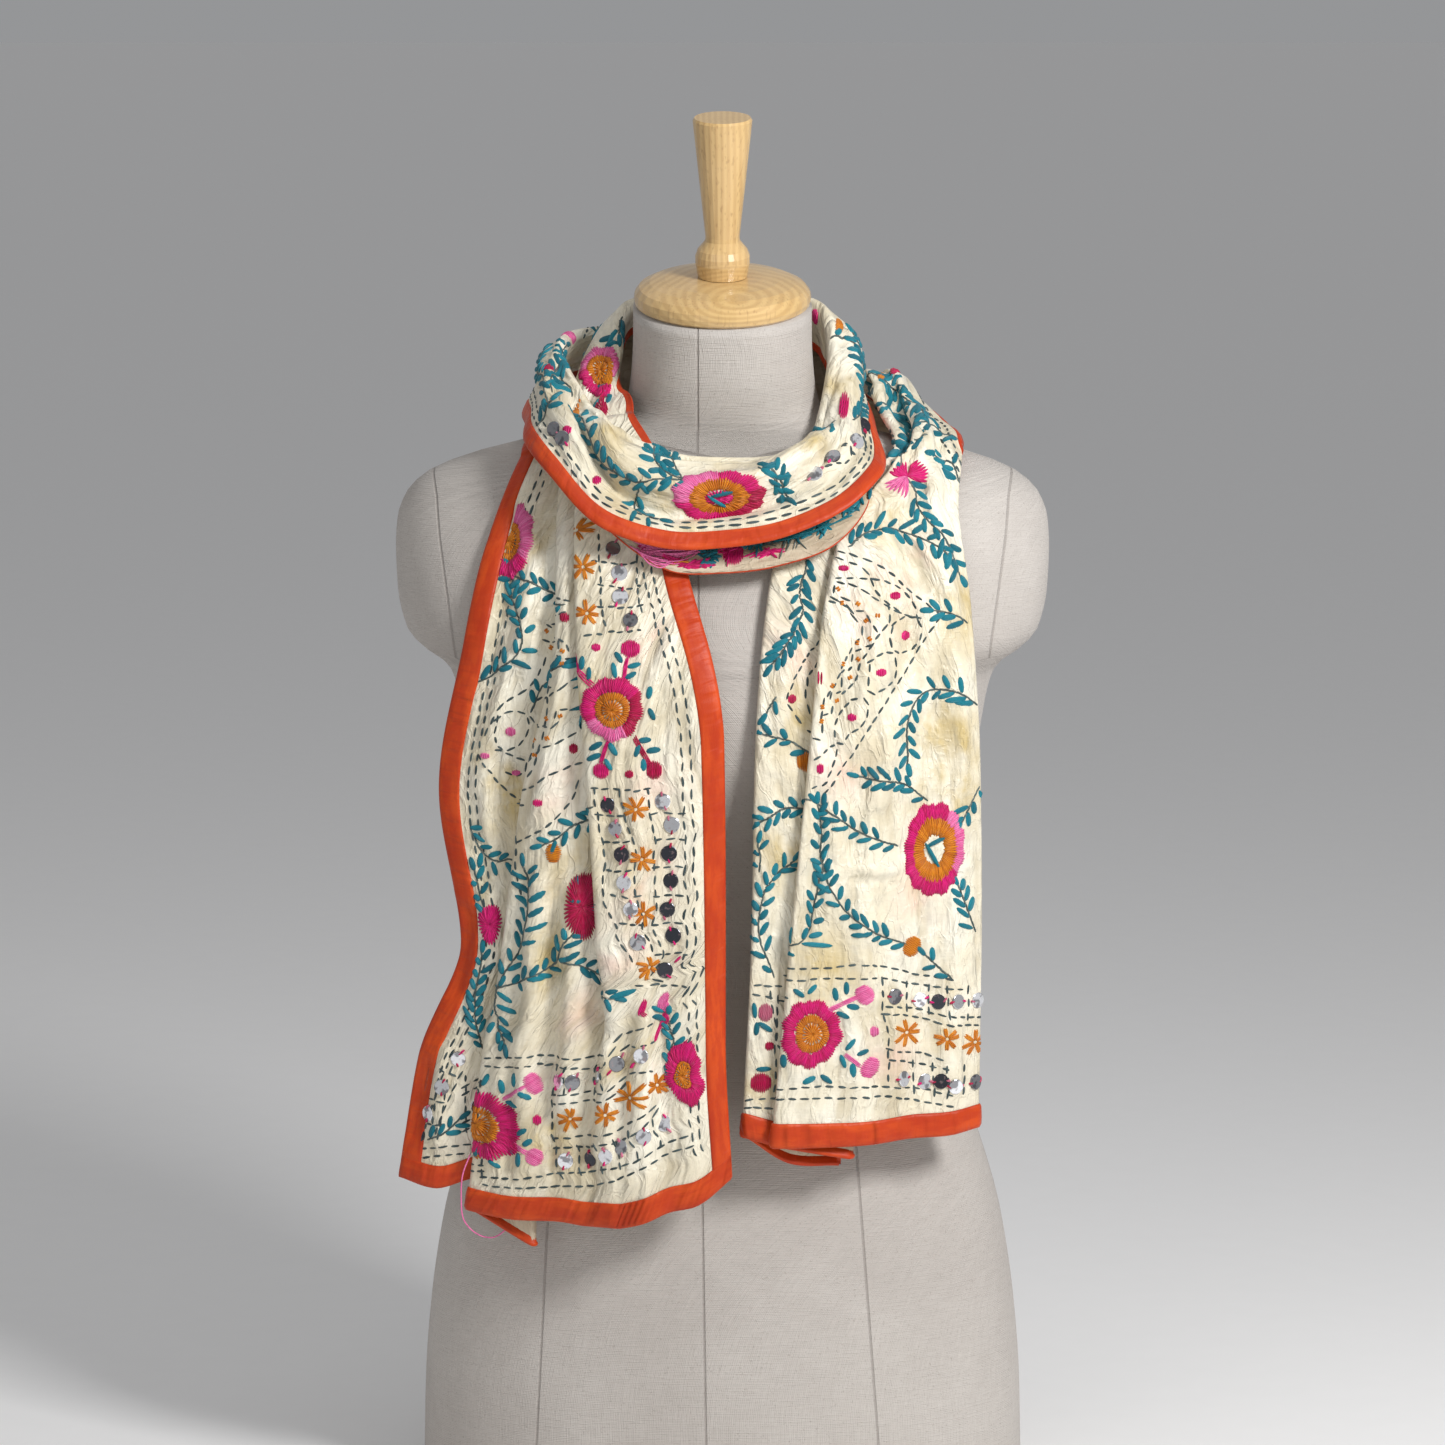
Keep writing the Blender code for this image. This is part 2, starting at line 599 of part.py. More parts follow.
def make_tail(tail, right_side, cloth, binding):
    """The hanging end; returns three stations that carry its start on into the winding."""
    shares = shares_of_heights(tail.heights, tail.start_y)
    length = tail_length(tail.heights, tail.start_y)
    seam = 1 - BINDING_WIDTH / length
    start = JOINT_GAP / length
    spots = [start]
    while spots[-1] < seam:
        spots.append(spots[-1] + smooth_through(shares, tail.rows_apart, spots[-1]) / length)
    stretch = (seam - start) / (spots[-1] - start)
    spots = [start + (spot - start) * stretch for spot in spots] + [(seam + 1) / 2, 1.0]
    sections = [Section(tail_section(tail, shares, spot)) for spot in [-BEYOND_START, *spots]]
    make_sheet(tail.name, sections, right_side, cloth, binding, bound_end=True)
    inside, edge = [tail_section(tail, shares, share)[list(tail.joins)]
                    for share in (BEYOND_START, 0.0)]
    return [inside, edge, 2 * edge - inside]


def around_neck(angle, radius, height):
    turn = math.radians(angle)
    return np.array([-radius * math.sin(turn), NECK_AXIS_Y - radius * math.cos(turn), height])


def wrap_section(row):
    """Lower edge, belly, crest and under edge of one station."""
    low = np.array([row.low_r, row.low_z])
    crest = np.array([row.crest_r, row.crest_z])
    under = np.array([row.under_r, row.under_z])
    face = crest - low
    out = np.array([face[1], -face[0]]) / np.linalg.norm(face)
    corners = [low + face * way + out * row.belly * bulge for way, bulge in FACE_PROFILE]
    corners += [crest + CREST_TURN * np.array(spot) for spot in CREST_PROFILE]
    behind = corners[-1]
    corners += [behind + (under - behind) * LEG_SHARE - np.array([0, LEG_SAG]), under]
    return np.array([around_neck(row.angle, *p) for p in corners])


def make_wrap(name, stations, first, last, cloth, binding):
    """One stretch of the wound cloth, from one station to another of the whole winding."""
    spans = [np.linalg.norm(after - before, axis=1).mean()
             for before, after in zip(stations, stations[1:])]
    spots = []
    for i in range(first, last):
        steps = max(1, round(spans[i] / STEP_ALONG))
        spots += [i + k / steps for k in range(steps)]
    starts = first + SEAM_GAP / 2 / spans[first]
    ends = last - SEAM_GAP / 2 / spans[last - 1]
    sections = []
    for spot in [first - GUIDE, starts, *spots[1:], ends, last + GUIDE]:
        line = [curve_point([station[k] for station in stations], spot)
                for k in range(len(stations[0]))]
        sections.append(Section(line))
    make_sheet(name, sections, 1, cloth, binding)


def make_form(linen, wood):
    points, faces = lofted_rings([form_ring(height) for height in form_heights()])
    add_object("form_body", points, faces, linen, HARD_EDGE)
    rings = turned_rings(CAP_PROFILE, CAP_HALF_WIDTH, CAP_HALF_DEPTH, CAP_SIDES, 0.0)
    add_object("neck_cap", *lofted_rings(rings), wood, HARD_EDGE)
    start = CAP_PROFILE[-1].height + SEAM_GAP
    rings = turned_rings(HANDLE_PROFILE, 1.0, 1.0, HANDLE_SIDES, start)
    add_object("handle", *lofted_rings(rings), wood, HARD_EDGE)


def build():
    clear_scene()
    cloth = plain_material("cream_cloth", CREAM, CLOTH_ROUGHNESS)
    binding = plain_material("orange_binding", ORANGE, BINDING_ROUGHNESS)
    linen = plain_material("form_linen", LINEN, LINEN_ROUGHNESS)
    wood = plain_material("pale_wood", PALE_WOOD, WOOD_ROUGHNESS)
    make_form(linen, wood)
    left_top = make_tail(LEFT_TAIL, -1, cloth, binding)
    right_top = make_tail(RIGHT_TAIL, 1, cloth, binding)
    inner, loop, back = [[wrap_section(row) for row in table]
                         for table in (INNER_WRAP, FRONT_LOOP, BACK_WRAP)]
    stations = [*left_top, *inner, *loop, *back, *reversed(right_top)]
    loop_start = len(left_top) + len(inner)
    back_start = loop_start + len(loop)
    make_wrap("inner_wrap", stations, 1, loop_start, cloth, binding)
    make_wrap("front_loop", stations, loop_start, back_start, cloth, binding)
    make_wrap("back_wrap", stations, back_start, len(stations) - 2, cloth, binding)


build()
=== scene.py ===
import math
from collections import namedtuple

import bpy
import numpy as np
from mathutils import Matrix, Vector


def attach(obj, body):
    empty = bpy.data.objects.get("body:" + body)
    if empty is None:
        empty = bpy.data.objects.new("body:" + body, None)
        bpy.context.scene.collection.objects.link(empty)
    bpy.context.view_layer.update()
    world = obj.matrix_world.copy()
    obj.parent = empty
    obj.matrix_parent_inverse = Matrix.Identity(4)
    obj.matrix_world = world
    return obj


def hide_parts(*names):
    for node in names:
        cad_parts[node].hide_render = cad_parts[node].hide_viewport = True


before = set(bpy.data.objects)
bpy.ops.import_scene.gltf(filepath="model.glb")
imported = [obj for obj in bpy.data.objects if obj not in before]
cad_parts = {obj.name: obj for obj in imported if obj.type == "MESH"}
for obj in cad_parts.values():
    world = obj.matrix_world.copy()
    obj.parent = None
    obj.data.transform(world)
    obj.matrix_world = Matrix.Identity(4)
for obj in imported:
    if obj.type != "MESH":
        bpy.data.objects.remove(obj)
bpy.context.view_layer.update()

# The dress form's body is a hard shell covered in greige linen, cut in panels that are sewn
# together down the front, round the shoulder caps and at the foot of the neck. The cover is
# glued down, so its seams show as fine grooves, with painted shade darkening the linen in them.
Ring = namedtuple("Ring", "height middle half_width front back lean")
FORM_RINGS = [
    Ring(0.000, 0.0, 0.1885, 0.108, 0.128, 0),
    Ring(0.060, 0.0, 0.1870, 0.110, 0.130, 0),
    Ring(0.110, 0.0, 0.1830, 0.111, 0.130, 0),
    Ring(0.165, 0.0, 0.1745, 0.109, 0.124, 0),
    Ring(0.210, 0.0, 0.1620, 0.105, 0.111, 0),
    Ring(0.250, 0.0, 0.1470, 0.101, 0.096, 0),
    Ring(0.290, 0.0, 0.1350, 0.098, 0.083, 0),
    Ring(0.330, 0.0, 0.1320, 0.099, 0.080, 0),
    Ring(0.380, 0.0, 0.1400, 0.106, 0.086, 0),
    Ring(0.430, 0.0, 0.1510, 0.119, 0.094, 0),
    Ring(0.470, 0.0, 0.1590, 0.130, 0.098, 0),
    Ring(0.498, 0.0, 0.1640, 0.133, 0.100, 0),
    Ring(0.513, 0.0, 0.1700, 0.131, 0.101, 0),
    Ring(0.521, 0.0, 0.1820, 0.129, 0.101, 0),
    Ring(0.534, 0.0, 0.1945, 0.124, 0.101, 0),
    Ring(0.560, 0.0, 0.2003, 0.112, 0.098, 0),
    Ring(0.585, 0.0, 0.2012, 0.100, 0.093, 0),
    Ring(0.602, 0.0, 0.2000, 0.091, 0.087, 0),
    Ring(0.616, 0.0, 0.1950, 0.083, 0.080, 0),
    Ring(0.627, 0.0, 0.1850, 0.076, 0.072, 0),
    Ring(0.635, 0.0, 0.1700, 0.070, 0.064, 0),
    Ring(0.643, 0.0, 0.1460, 0.065, 0.056, 0),
    Ring(0.6495, 0.0, 0.1190, 0.061, 0.050, 0),
    Ring(0.655, -0.002, 0.0900, 0.057, 0.049, 0),
    Ring(0.662, -0.004, 0.0690, 0.055, 0.050, 2),
    Ring(0.672, -0.007, 0.0595, 0.0545, 0.052, 5),
    Ring(0.690, -0.012, 0.0560, 0.0550, 0.0540, 8),
    Ring(0.712, -0.017, 0.0545, 0.0555, 0.0550, 11),
    Ring(0.732, -0.022, 0.0543, 0.057, 0.057, 12),
]
# Power of the rounded oval that each ring is: two would be a true oval
SQUARENESS = 2.25
COVER_SIDES = 160
COVER_STEP = 0.006
RING_HEIGHTS = [ring.height for ring in FORM_RINGS]
# Seams as seen from the front: height and place across
SIDE_FRONT_SEAMS = (((0.0, -0.1165), (0.178, -0.1067), (0.33, -0.086), (0.50, -0.098), (0.65, -0.090)),
                    ((0.0, 0.0985), (0.194, 0.0836), (0.33, 0.074), (0.50, 0.092), (0.65, 0.085)))
CENTRE_SEAM = ((0.0, -0.0095), (0.196, -0.0124), (0.562, -0.0146), (0.64, -0.015))
ARMHOLE_SEAM = ((0.515, 0.160), (0.536, 0.1625), (0.562, 0.1665), (0.595, 0.1715), (0.620, 0.174),
                (0.634, 0.178))
ARMHOLES_START = 0.517
NECK_SEAM_HEIGHT = 0.6405
NECK_SEAM_MIDDLE = 0.006
NECK_SEAM_RISE = 0.205
NECK_SEAM_FRONT = -0.055
NECK_SEAM_BACK_RISE = 0.16
FRONT_REACH = 0.02
HIP_DARTS_END = 0.3
NO_SEAM = 0.05


def smooth_through(places, values, at):
    """Cubic curve through a table's values that never swings past them."""
    places = np.asarray(places, float)
    values = np.asarray(values, float)
    widths = np.diff(places)
    slopes = np.diff(values) / widths
    tangents = np.zeros(len(values))
    tangents[0] = slopes[0]
    tangents[-1] = slopes[-1]
    for i in range(1, len(values) - 1):
        before, after = slopes[i - 1], slopes[i]
        if before * after > 0:
            tangents[i] = 2 * before * after / (before + after)
    at = min(max(at, places[0]), places[-1])
    i = min(int(np.searchsorted(places, at, side="right")) - 1, len(widths) - 1)
    t = (at - places[i]) / widths[i]
    return ((2 * t**3 - 3 * t**2 + 1) * values[i]
            + (t**3 - 2 * t**2 + t) * widths[i] * tangents[i]
            + (3 * t**2 - 2 * t**3) * values[i + 1]
            + (t**3 - t**2) * widths[i] * tangents[i + 1])


def form_size(column, height):
    return smooth_through(RING_HEIGHTS, [getattr(ring, column) for ring in FORM_RINGS], height)


def circle(sides):
    """Cosines and sines of a full turn in even steps."""
    turn = np.arange(sides) * 2 * math.pi / sides
    return np.cos(turn), np.sin(turn)


def form_ring(height):
    lean = math.radians(form_size("lean", height))
    side, depth = [np.sign(way) * np.abs(way) ** (2 / SQUARENESS) for way in circle(COVER_SIDES)]
    deep = np.where(depth > 0, form_size("back", height), form_size("front", height)) * depth
    return np.column_stack([form_size("half_width", height) * side,
                            form_size("middle", height) + deep * math.cos(lean),
                            height + deep * math.sin(lean)])


def table_curve(rows, at):
    return np.interp(at, [row[0] for row in rows], [row[1] for row in rows])


def grid_faces(rows, columns, closed=False, turned=False):
    """Corner numbers of the squares between rows of points, each row a line or a closed ring."""
    r, c = np.meshgrid(np.arange(rows - 1), np.arange(columns if closed else columns - 1), indexing="ij")
    after = (c + 1) % columns
    corners = [r * columns + c, r * columns + after, (r + 1) * columns + after, (r + 1) * columns + c]
    faces = np.stack(corners, axis=-1).reshape(-1, 4)
    return faces[:, ::-1] if turned else faces


def add_piece(name, points, faces, materials, face_material=None, spread=None, marks=None, ends=()):
    """A mesh from arrays: spread gives two lengths in metres per point, marks other numbers."""
    mesh = bpy.data.meshes.new(name)
    corners = [list(map(int, face)) for face in faces] + [list(end) for end in ends]
    mesh.from_pydata([tuple(map(float, p)) for p in points], [], corners)
    mesh.shade_smooth()
    for material in materials:
        mesh.materials.append(material)
    if face_material is not None:
        mesh.polygons.foreach_set("material_index", np.asarray(face_material, np.int32))
    loops = np.zeros(len(mesh.loops), np.int32)
    mesh.loops.foreach_get("vertex_index", loops)
    if spread is not None:
        layer = mesh.uv_layers.new(name="spread")
        layer.data.foreach_set("uv", np.asarray(spread, np.float32)[loops].ravel())
    for mark, values in (marks or {}).items():
        layer = mesh.attributes.new(mark, "FLOAT", "POINT")
        layer.data.foreach_set("value", np.asarray(values, np.float32))
    piece = bpy.data.objects.new(name, mesh)
    bpy.context.scene.collection.objects.link(piece)
    return piece


class Shades:
    """A node tree with short ways to add nodes and join them."""

    def __init__(self, tree):
        self.tree = tree

    def node(self, kind, **settings):
        node = self.tree.nodes.new(kind)
        for key, value in settings.items():
            setattr(node, key, value)
        return node

    def join(self, source, target):
        if hasattr(source, "is_output"):
            self.tree.links.new(source, target)
        else:
            target.default_value = source

    def math(self, operation, *values):
        node = self.node("ShaderNodeMath", operation=operation)
        for value, socket in zip(values, node.inputs):
            self.join(value, socket)
        return node.outputs[0]

    def times(self, first, second):
        return self.math("MULTIPLY", first, second)

    def plus(self, first, second):
        return self.math("ADD", first, second)

    def less(self, first, second):
        return self.math("SUBTRACT", first, second)

    def mix(self, share, first, second):
        node = self.node("ShaderNodeMix", data_type="RGBA")
        for value, key in ((share, 0), (first, 6), (second, 7)):
            self.join(value, node.inputs[key])
        return node.outputs[2]

    def noise(self, where, scale, detail=2.0, roughness=0.5, distortion=0.0):
        node = self.node("ShaderNodeTexNoise")
        self.join(where, node.inputs["Vector"])
        for key, value in (("Scale", scale), ("Detail", detail), ("Roughness", roughness),
                           ("Distortion", distortion)):
            node.inputs[key].default_value = value
        return node.outputs["Fac"]

    def scaled(self, where, size):
        """Places measured in steps of a size that may itself be joined."""
        node = self.node("ShaderNodeVectorMath", operation="SCALE")
        self.join(where, node.inputs[0])
        self.join(self.math("DIVIDE", 1.0, size), node.inputs["Scale"])
        return node.outputs[0]

    def apart(self, where):
        node = self.node("ShaderNodeSeparateXYZ")
        self.join(where, node.inputs[0])
        return node.outputs

    def stretch(self, where, sizes, turn=0.0, move=(0, 0, 0)):
        node = self.node("ShaderNodeMapping")
        self.join(where, node.inputs["Vector"])
        node.inputs["Scale"].default_value = sizes
        node.inputs["Rotation"].default_value = (0, 0, math.radians(turn))
        node.inputs["Location"].default_value = move
        return node.outputs[0]

    def ramp(self, value, low, high, to_low=0.0, to_high=1.0):
        node = self.node("ShaderNodeMapRange", interpolation_type="SMOOTHSTEP")
        for number, socket in zip((value, low, high, to_low, to_high), node.inputs):
            self.join(number, socket)
        return node.outputs[0]

    def relief(self, height, depth, strength=1.0, under=None):
        node = self.node("ShaderNodeBump")
        node.inputs["Strength"].default_value = strength
        self.join(depth, node.inputs["Distance"])
        self.join(height, node.inputs["Height"])
        if under is not None:
            self.join(under, node.inputs["Normal"])
        return node.outputs[0]

    def mark(self, name):
        return self.node("ShaderNodeAttribute", attribute_name=name).outputs["Fac"]

    def spread(self):
        return self.node("ShaderNodeUVMap", uv_map="spread").outputs[0]

    def whereabouts(self):
        return self.node("ShaderNodeTexCoord").outputs["Object"]


def effect_group(name, inputs, outputs):
    """A reusable effect with named numbers, colours or vectors in and out."""
    tree = bpy.data.node_groups.new(name, "ShaderNodeTree")
    for way, sockets in (("INPUT", inputs), ("OUTPUT", outputs)):
        for key, kind, *value in sockets:
            socket = tree.interface.new_socket(key, in_out=way, socket_type="NodeSocket" + kind)
            if value:
                socket.default_value = value[0]
    shades = Shades(tree)
    return shades, shades.node("NodeGroupInput").outputs, shades.node("NodeGroupOutput").inputs


def use_effect(shades, name, **values):
    node = shades.node("ShaderNodeGroup", node_tree=bpy.data.node_groups[name])
    for key, value in values.items():
        shades.join(value, node.inputs[key.replace("_", " ")])
    return node.outputs


def new_material(name, **settings):
    """A material with its Principled shader's fixed numbers set; returns shader and tree."""
    material = bpy.data.materials.new(name)
    material.use_nodes = True
    shader = material.node_tree.nodes["Principled BSDF"]
    for key, value in settings.items():
        shader.inputs[key.replace("_", " ")].default_value = value
    return material, shader, Shades(material.node_tree)


shades, given, result = effect_group("Woven threads", [("Where", "Vector"), ("Pitch", "Float", 0.001),
                                                       ("Unevenness", "Float", 0.4)], [("Height", "Float")])
threads = []
where = shades.scaled(given["Where"], given["Pitch"])
slubs = shades.noise(shades.stretch(where, (0.08, 1.0, 1.0)), 1.0, 2.0)
crossing_slubs = shades.noise(shades.stretch(where, (1.0, 0.08, 1.0)), 1.0, 2.0)
for part, slub in zip(shades.apart(where), (crossing_slubs, slubs)):
    wave = shades.math("SINE", shades.times(part, 2 * math.pi))
    uneven = shades.times(shades.less(slub, 0.5), given["Unevenness"])
    threads.append(shades.plus(shades.times(wave, 0.25), shades.times(uneven, 4.0)))
shades.join(shades.plus(*threads), result["Height"])

linen, shader, shades = new_material("greige linen", Roughness=0.92, Specular_IOR_Level=0.25,
                                     Sheen_Weight=0.10, Sheen_Roughness=0.5)
seam_mask = 0.0
for seam in ("centre_seam", "left_front_seam", "right_front_seam", "armhole_seam", "neck_seam"):
    near = shades.ramp(shades.math("ABSOLUTE", shades.mark(seam)), 0.0002, 0.0011, 1.0, 0.0)
    seam_mask = shades.math("MAXIMUM", near, seam_mask)
puckered = shades.noise(shades.stretch(shades.whereabouts(), (1, 1, 3)), 90.0)
weave = use_effect(shades, "Woven threads", Where=shades.spread(), Pitch=0.0011, Unevenness=0.5)["Height"]
flecks = shades.noise(shades.whereabouts(), 900.0, 1.0)
patchy = shades.noise(shades.whereabouts(), 9.0, 3.0)
tint = shades.mix(shades.ramp(patchy, 0.3, 0.7), (0.485, 0.447, 0.412, 1), (0.555, 0.517, 0.478, 1))
tint = shades.mix(shades.ramp(flecks, 0.62, 0.75, 0.0, 0.35), tint, (0.20, 0.16, 0.13, 1))
# Painted shade: the linen is darker where the weave sinks between its threads.
tint = shades.mix(shades.ramp(weave, -0.6, 0.6, 0.16, 0.0), tint, (0.22, 0.18, 0.15, 1))
# Painted shade: the linen is darkened along the seams, where their grooves lie in shadow.
tint = shades.mix(shades.times(seam_mask, 0.34), tint, (0.12, 0.09, 0.075, 1))
shades.join(tint, shader.inputs["Base Color"])
weave_bump = shades.relief(weave, 0.00022, 0.8)
seam_bump = shades.relief(shades.less(shades.times(puckered, 0.2), seam_mask),
                          0.0007, 0.8, weave_bump)
shades.join(seam_bump, shader.inputs["Normal"])

heights = [0.0]
while heights[-1] < RING_HEIGHTS[-1] - COVER_STEP / 2:
    heights.append(heights[-1] + COVER_STEP)
heights[-1] = RING_HEIGHTS[-1]
rings = np.array([form_ring(height) for height in heights])
cover_points = rings.reshape(-1, 3)
level = np.repeat(heights, COVER_SIDES)
girth = np.cumsum(np.linalg.norm(np.diff(rings[:, :, :2], axis=1, append=rings[:, :1, :2]), axis=2), axis=1)
x, y, z = cover_points.T
on_front = y < FRONT_REACH
cover_seams = {
    "centre_seam": np.where(on_front, x - table_curve(CENTRE_SEAM, level), NO_SEAM),
    "armhole_seam": np.where(level > ARMHOLES_START, np.abs(x) - table_curve(ARMHOLE_SEAM, level), NO_SEAM),
    "neck_seam": (z - NECK_SEAM_HEIGHT - np.abs(x - NECK_SEAM_MIDDLE) * NECK_SEAM_RISE
                  - np.maximum(y - NECK_SEAM_FRONT, 0) * NECK_SEAM_BACK_RISE)}
for side, rows in zip(("left", "right"), SIDE_FRONT_SEAMS):
    beside = x - table_curve(rows, level)
    cover_seams[f"{side}_front_seam"] = np.where(on_front | (level < HIP_DARTS_END), beside, NO_SEAM)
foot = range(COVER_SIDES - 1, -1, -1)
top = range(len(cover_points) - COVER_SIDES, len(cover_points))
cover = add_piece("form_cover", cover_points, grid_faces(len(heights), COVER_SIDES, closed=True), [linen],
                  spread=np.column_stack([girth.ravel(), level]), marks=cover_seams, ends=(foot, top))
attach(cover, "root")
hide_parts("form_body")

# The neck cap and its handle are turned from one pale hardwood and varnished. The cap is cut
# across the grain, so that it shows growth rings round the pith; the handle runs along it.
PITH = (0.008, -0.055, 0.737)
PITH_SQUEEZE = (1.0, 0.45, 2.2)
RING_PITCH = 0.0055
GRAIN_PITCH = 0.0036
HANDLE_FOOT = 0.7575
wood, shader, shades = new_material("varnished pale wood", Roughness=0.32, Specular_IOR_Level=0.5,
                                    Coat_Weight=0.55, Coat_Roughness=0.12)
where = shades.whereabouts()
bent = shades.noise(where, 14.0, 2.0)
parts = shades.apart(where)
squares = [shades.math("POWER", shades.times(shades.less(parts[axis], PITH[axis]), PITH_SQUEEZE[axis]), 2.0)
           for axis in (0, 2, 1)]
square = shades.plus(shades.plus(squares[0], squares[1]), squares[2])
reach = shades.plus(shades.math("SQRT", square), shades.times(bent, 0.022))
cap_rings = shades.math("SINE", shades.times(reach, 2 * math.pi / RING_PITCH))
along = shades.plus(parts[0], shades.times(bent, 0.006))
handle_lines = shades.math("SINE", shades.times(along, 2 * math.pi / GRAIN_PITCH))
on_handle = shades.math("GREATER_THAN", parts[2], HANDLE_FOOT)
rings_share = shades.ramp(shades.mix(on_handle, cap_rings, handle_lines), -0.9, 0.9)
pores = shades.noise(shades.stretch(where, (700, 700, 60)), 1.0, 2.0)
tint = shades.mix(rings_share, (0.55, 0.35, 0.140, 1), (0.64, 0.43, 0.180, 1))
tint = shades.mix(shades.ramp(pores, 0.56, 0.72, 0.0, 0.45), tint, (0.28, 0.14, 0.045, 1))
honey = shades.ramp(shades.noise(where, 30.0, 2.0), 0.35, 0.7, 0.0, 0.35)
tint = shades.mix(honey, tint, (0.74, 0.52, 0.26, 1))
shades.join(tint, shader.inputs["Base Color"])
shades.join(shades.relief(pores, 0.0001, 0.25), shader.inputs["Normal"])
for node in ("neck_cap", "handle"):
    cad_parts[node].material_slots[0].material = wood

# The stole is a long strip of cream silk, backed with plain cloth, that goes once round the
# neck: up the left front, behind the neck, round the front as a loose roll, behind again and
# down the right front. It only hangs: nothing holds it but its own weight on the shoulders.
CLOTH_WALL = 0.0009
CLEAR_OF_FORM = 0.0022
# A tail lies along taut lines over the form; past this reach from its middle it falls away
SIDE_REACH = 0.140
SIDE_FALL = 0.35
# Folds of a tail from edge to edge: how far they stand off the form at the top and at the hem,
# how deep the cloth turns there, the hem's height and the places across at the tail's heights
Crease = namedtuple("Crease", "name lift_top lift_hem turn_chest turn_hem hem across")
Tail = namedtuple("Tail", "name heights start_y start_slope hump joins creases")
LEFT_TAIL = Tail("left_tail", (.652, .600, .550, .455, .360, .280, .200), -.047, 0.0, 0.0,
                 (0, 2, 4, 7, 9, 12, 15, 17, 19, 20), [
    Crease("outer edge", .0020, .0060, 0, 0, .205, (-.1210, -.143, -.154, -.170, -.158, -.184, -.197)),
    Crease("side ridge", .0035, .0110, 0, 0, .201, (-.1080, -.125, -.135, -.150, -.139, -.163, -.174)),
    Crease("side valley", .0020, .0040, 0, 0, .207, (-.1035, -.110, -.116, -.133, -.124, -.140, -.145)),
    Crease("lower tuck", .0039, .0078, .0020, .0030, .171,
           (-.0990, -.088, -.085, -.098, -.106, -.112, -.113)),
    Crease("front fold", .0080, .0140, .0019, .0026, .190,
           (-.0945, -.099, -.099, -.120, -.133, -.145, -.155)),
    Crease("front ridge", .0114, .0188, 0, 0, .188, (-.0905, -.093, -.093, -.106, -.114, -.124, -.128)),
    Crease("front valley", .0102, .0150, 0, 0, .189, (-.0865, -.086, -.083, -.088, -.093, -.099, -.099)),
    Crease("upper tuck", .0120, .0158, .0020, .0020, .188,
           (-.0825, -.070, -.066, -.060, -.065, -.081, -.082)),
    Crease("band fold", .0161, .0200, .0019, .0019, .189,
           (-.0785, -.088, -.087, -.080, -.074, -.066, -.063)),
    Crease("band ridge", .0186, .0215, 0, 0, .193, (-.0745, -.074, -.071, -.058, -.054, -.050, -.047)),
    Crease("band valley", .0158, .0160, 0, 0, .199, (-.0705, -.061, -.055, -.038, -.034, -.036, -.032)),
    Crease("edge ridge", .0150, .0165, 0, 0, .204, (-.0660, -.049, -.040, -.019, -.018, -.018, -.014)),
    Crease("inner edge", .0130, .0120, 0, 0, .219, (-.0540, -.033, -.022, .000, .001, .001, .005)),
])
RIGHT_TAIL = Tail("right_tail", (.660, .640, .600, .550, .455, .360, .237), .030, 0.65, 0.030,
                  (0, 2, 4, 6, 9, 15, 16, 17, 18, 19), [
    Crease("hidden outer edge", .0034, .0054, 0, 0, .243,
           (.1260, .1370, .108, .098, .094, .092, .088)),
    Crease("right fold", .0072, .0088, .0019, .0022, .240,
           (.1225, .1455, .1420, .1480, .1545, .1560, .1550)),
    Crease("right ridge", .0115, .0175, 0, 0, .2385, (.1185, .1395, .129, .131, .137, .137, .137)),
    Crease("right valley", .0105, .0135, 0, 0, .2385, (.1145, .1340, .115, .113, .117, .115, .113)),
    Crease("middle ridge", .0134, .0190, 0, 0, .238, (.1105, .1285, .102, .096, .096, .091, .088)),
    Crease("middle valley", .0129, .0168, 0, 0, .238, (.1065, .1230, .089, .080, .075, .068, .061)),
    Crease("front fold", .0125, .0150, -.0018, -.0022, .2385,
           (.1020, .1160, .074, .061, .0505, .041, .0295)),
    Crease("tuck", .0084, .0100, -.0020, -.0028, .229, (.0980, .1185, .090, .086, .084, .081, .078)),
    Crease("left layer", .0068, .0072, 0, 0, .236, (.0935, .1120, .068, .056, .046, .043, .038)),
    Crease("inner fold", .0050, .0058, -.0018, -.0018, .243,
           (.0870, .1040, .048, .028, .0195, .0178, .012)),
    Crease("back valley", .0022, .0026, 0, 0, .226, (.0950, .1120, .062, .050, .046, .044, .040)),
    Crease("hidden inner edge", .0014, .0016, 0, 0, .223,
           (.1050, .1230, .080, .076, .074, .072, .070)),
])
HUMP_FOOT = 0.147
HUMP_TOP = 0.110
HUMP_END = 0.15
TURN_OPENS = 0.0060
NECK_AXIS_Y = -0.005
# Stations of the winding, by their angle round the neck: how far out and how high its lower
# edge, its crest and its turned-in under edge lie there, and how much its face bulges
Wrap = namedtuple("Wrap", "angle low_r low_z crest_r crest_z under_r under_z belly")
INNER_WRAP = [
    Wrap(78, 0.110, 0.662, 0.067, 0.706, 0.065, 0.688, 0.004),
    Wrap(94, 0.102, 0.665, 0.065, 0.723, 0.062, 0.704, 0.005),
    Wrap(114, 0.095, 0.665, 0.063, 0.733, 0.060, 0.713, 0.006),
    Wrap(146, 0.087, 0.661, 0.062, 0.735, 0.058, 0.713, 0.006),
    Wrap(180, 0.081, 0.659, 0.061, 0.735, 0.057, 0.710, 0.006),
    Wrap(214, 0.083, 0.659, 0.062, 0.735, 0.058, 0.708, 0.007),
    Wrap(242, 0.085, 0.662, 0.065, 0.733, 0.062, 0.704, 0.009),
]
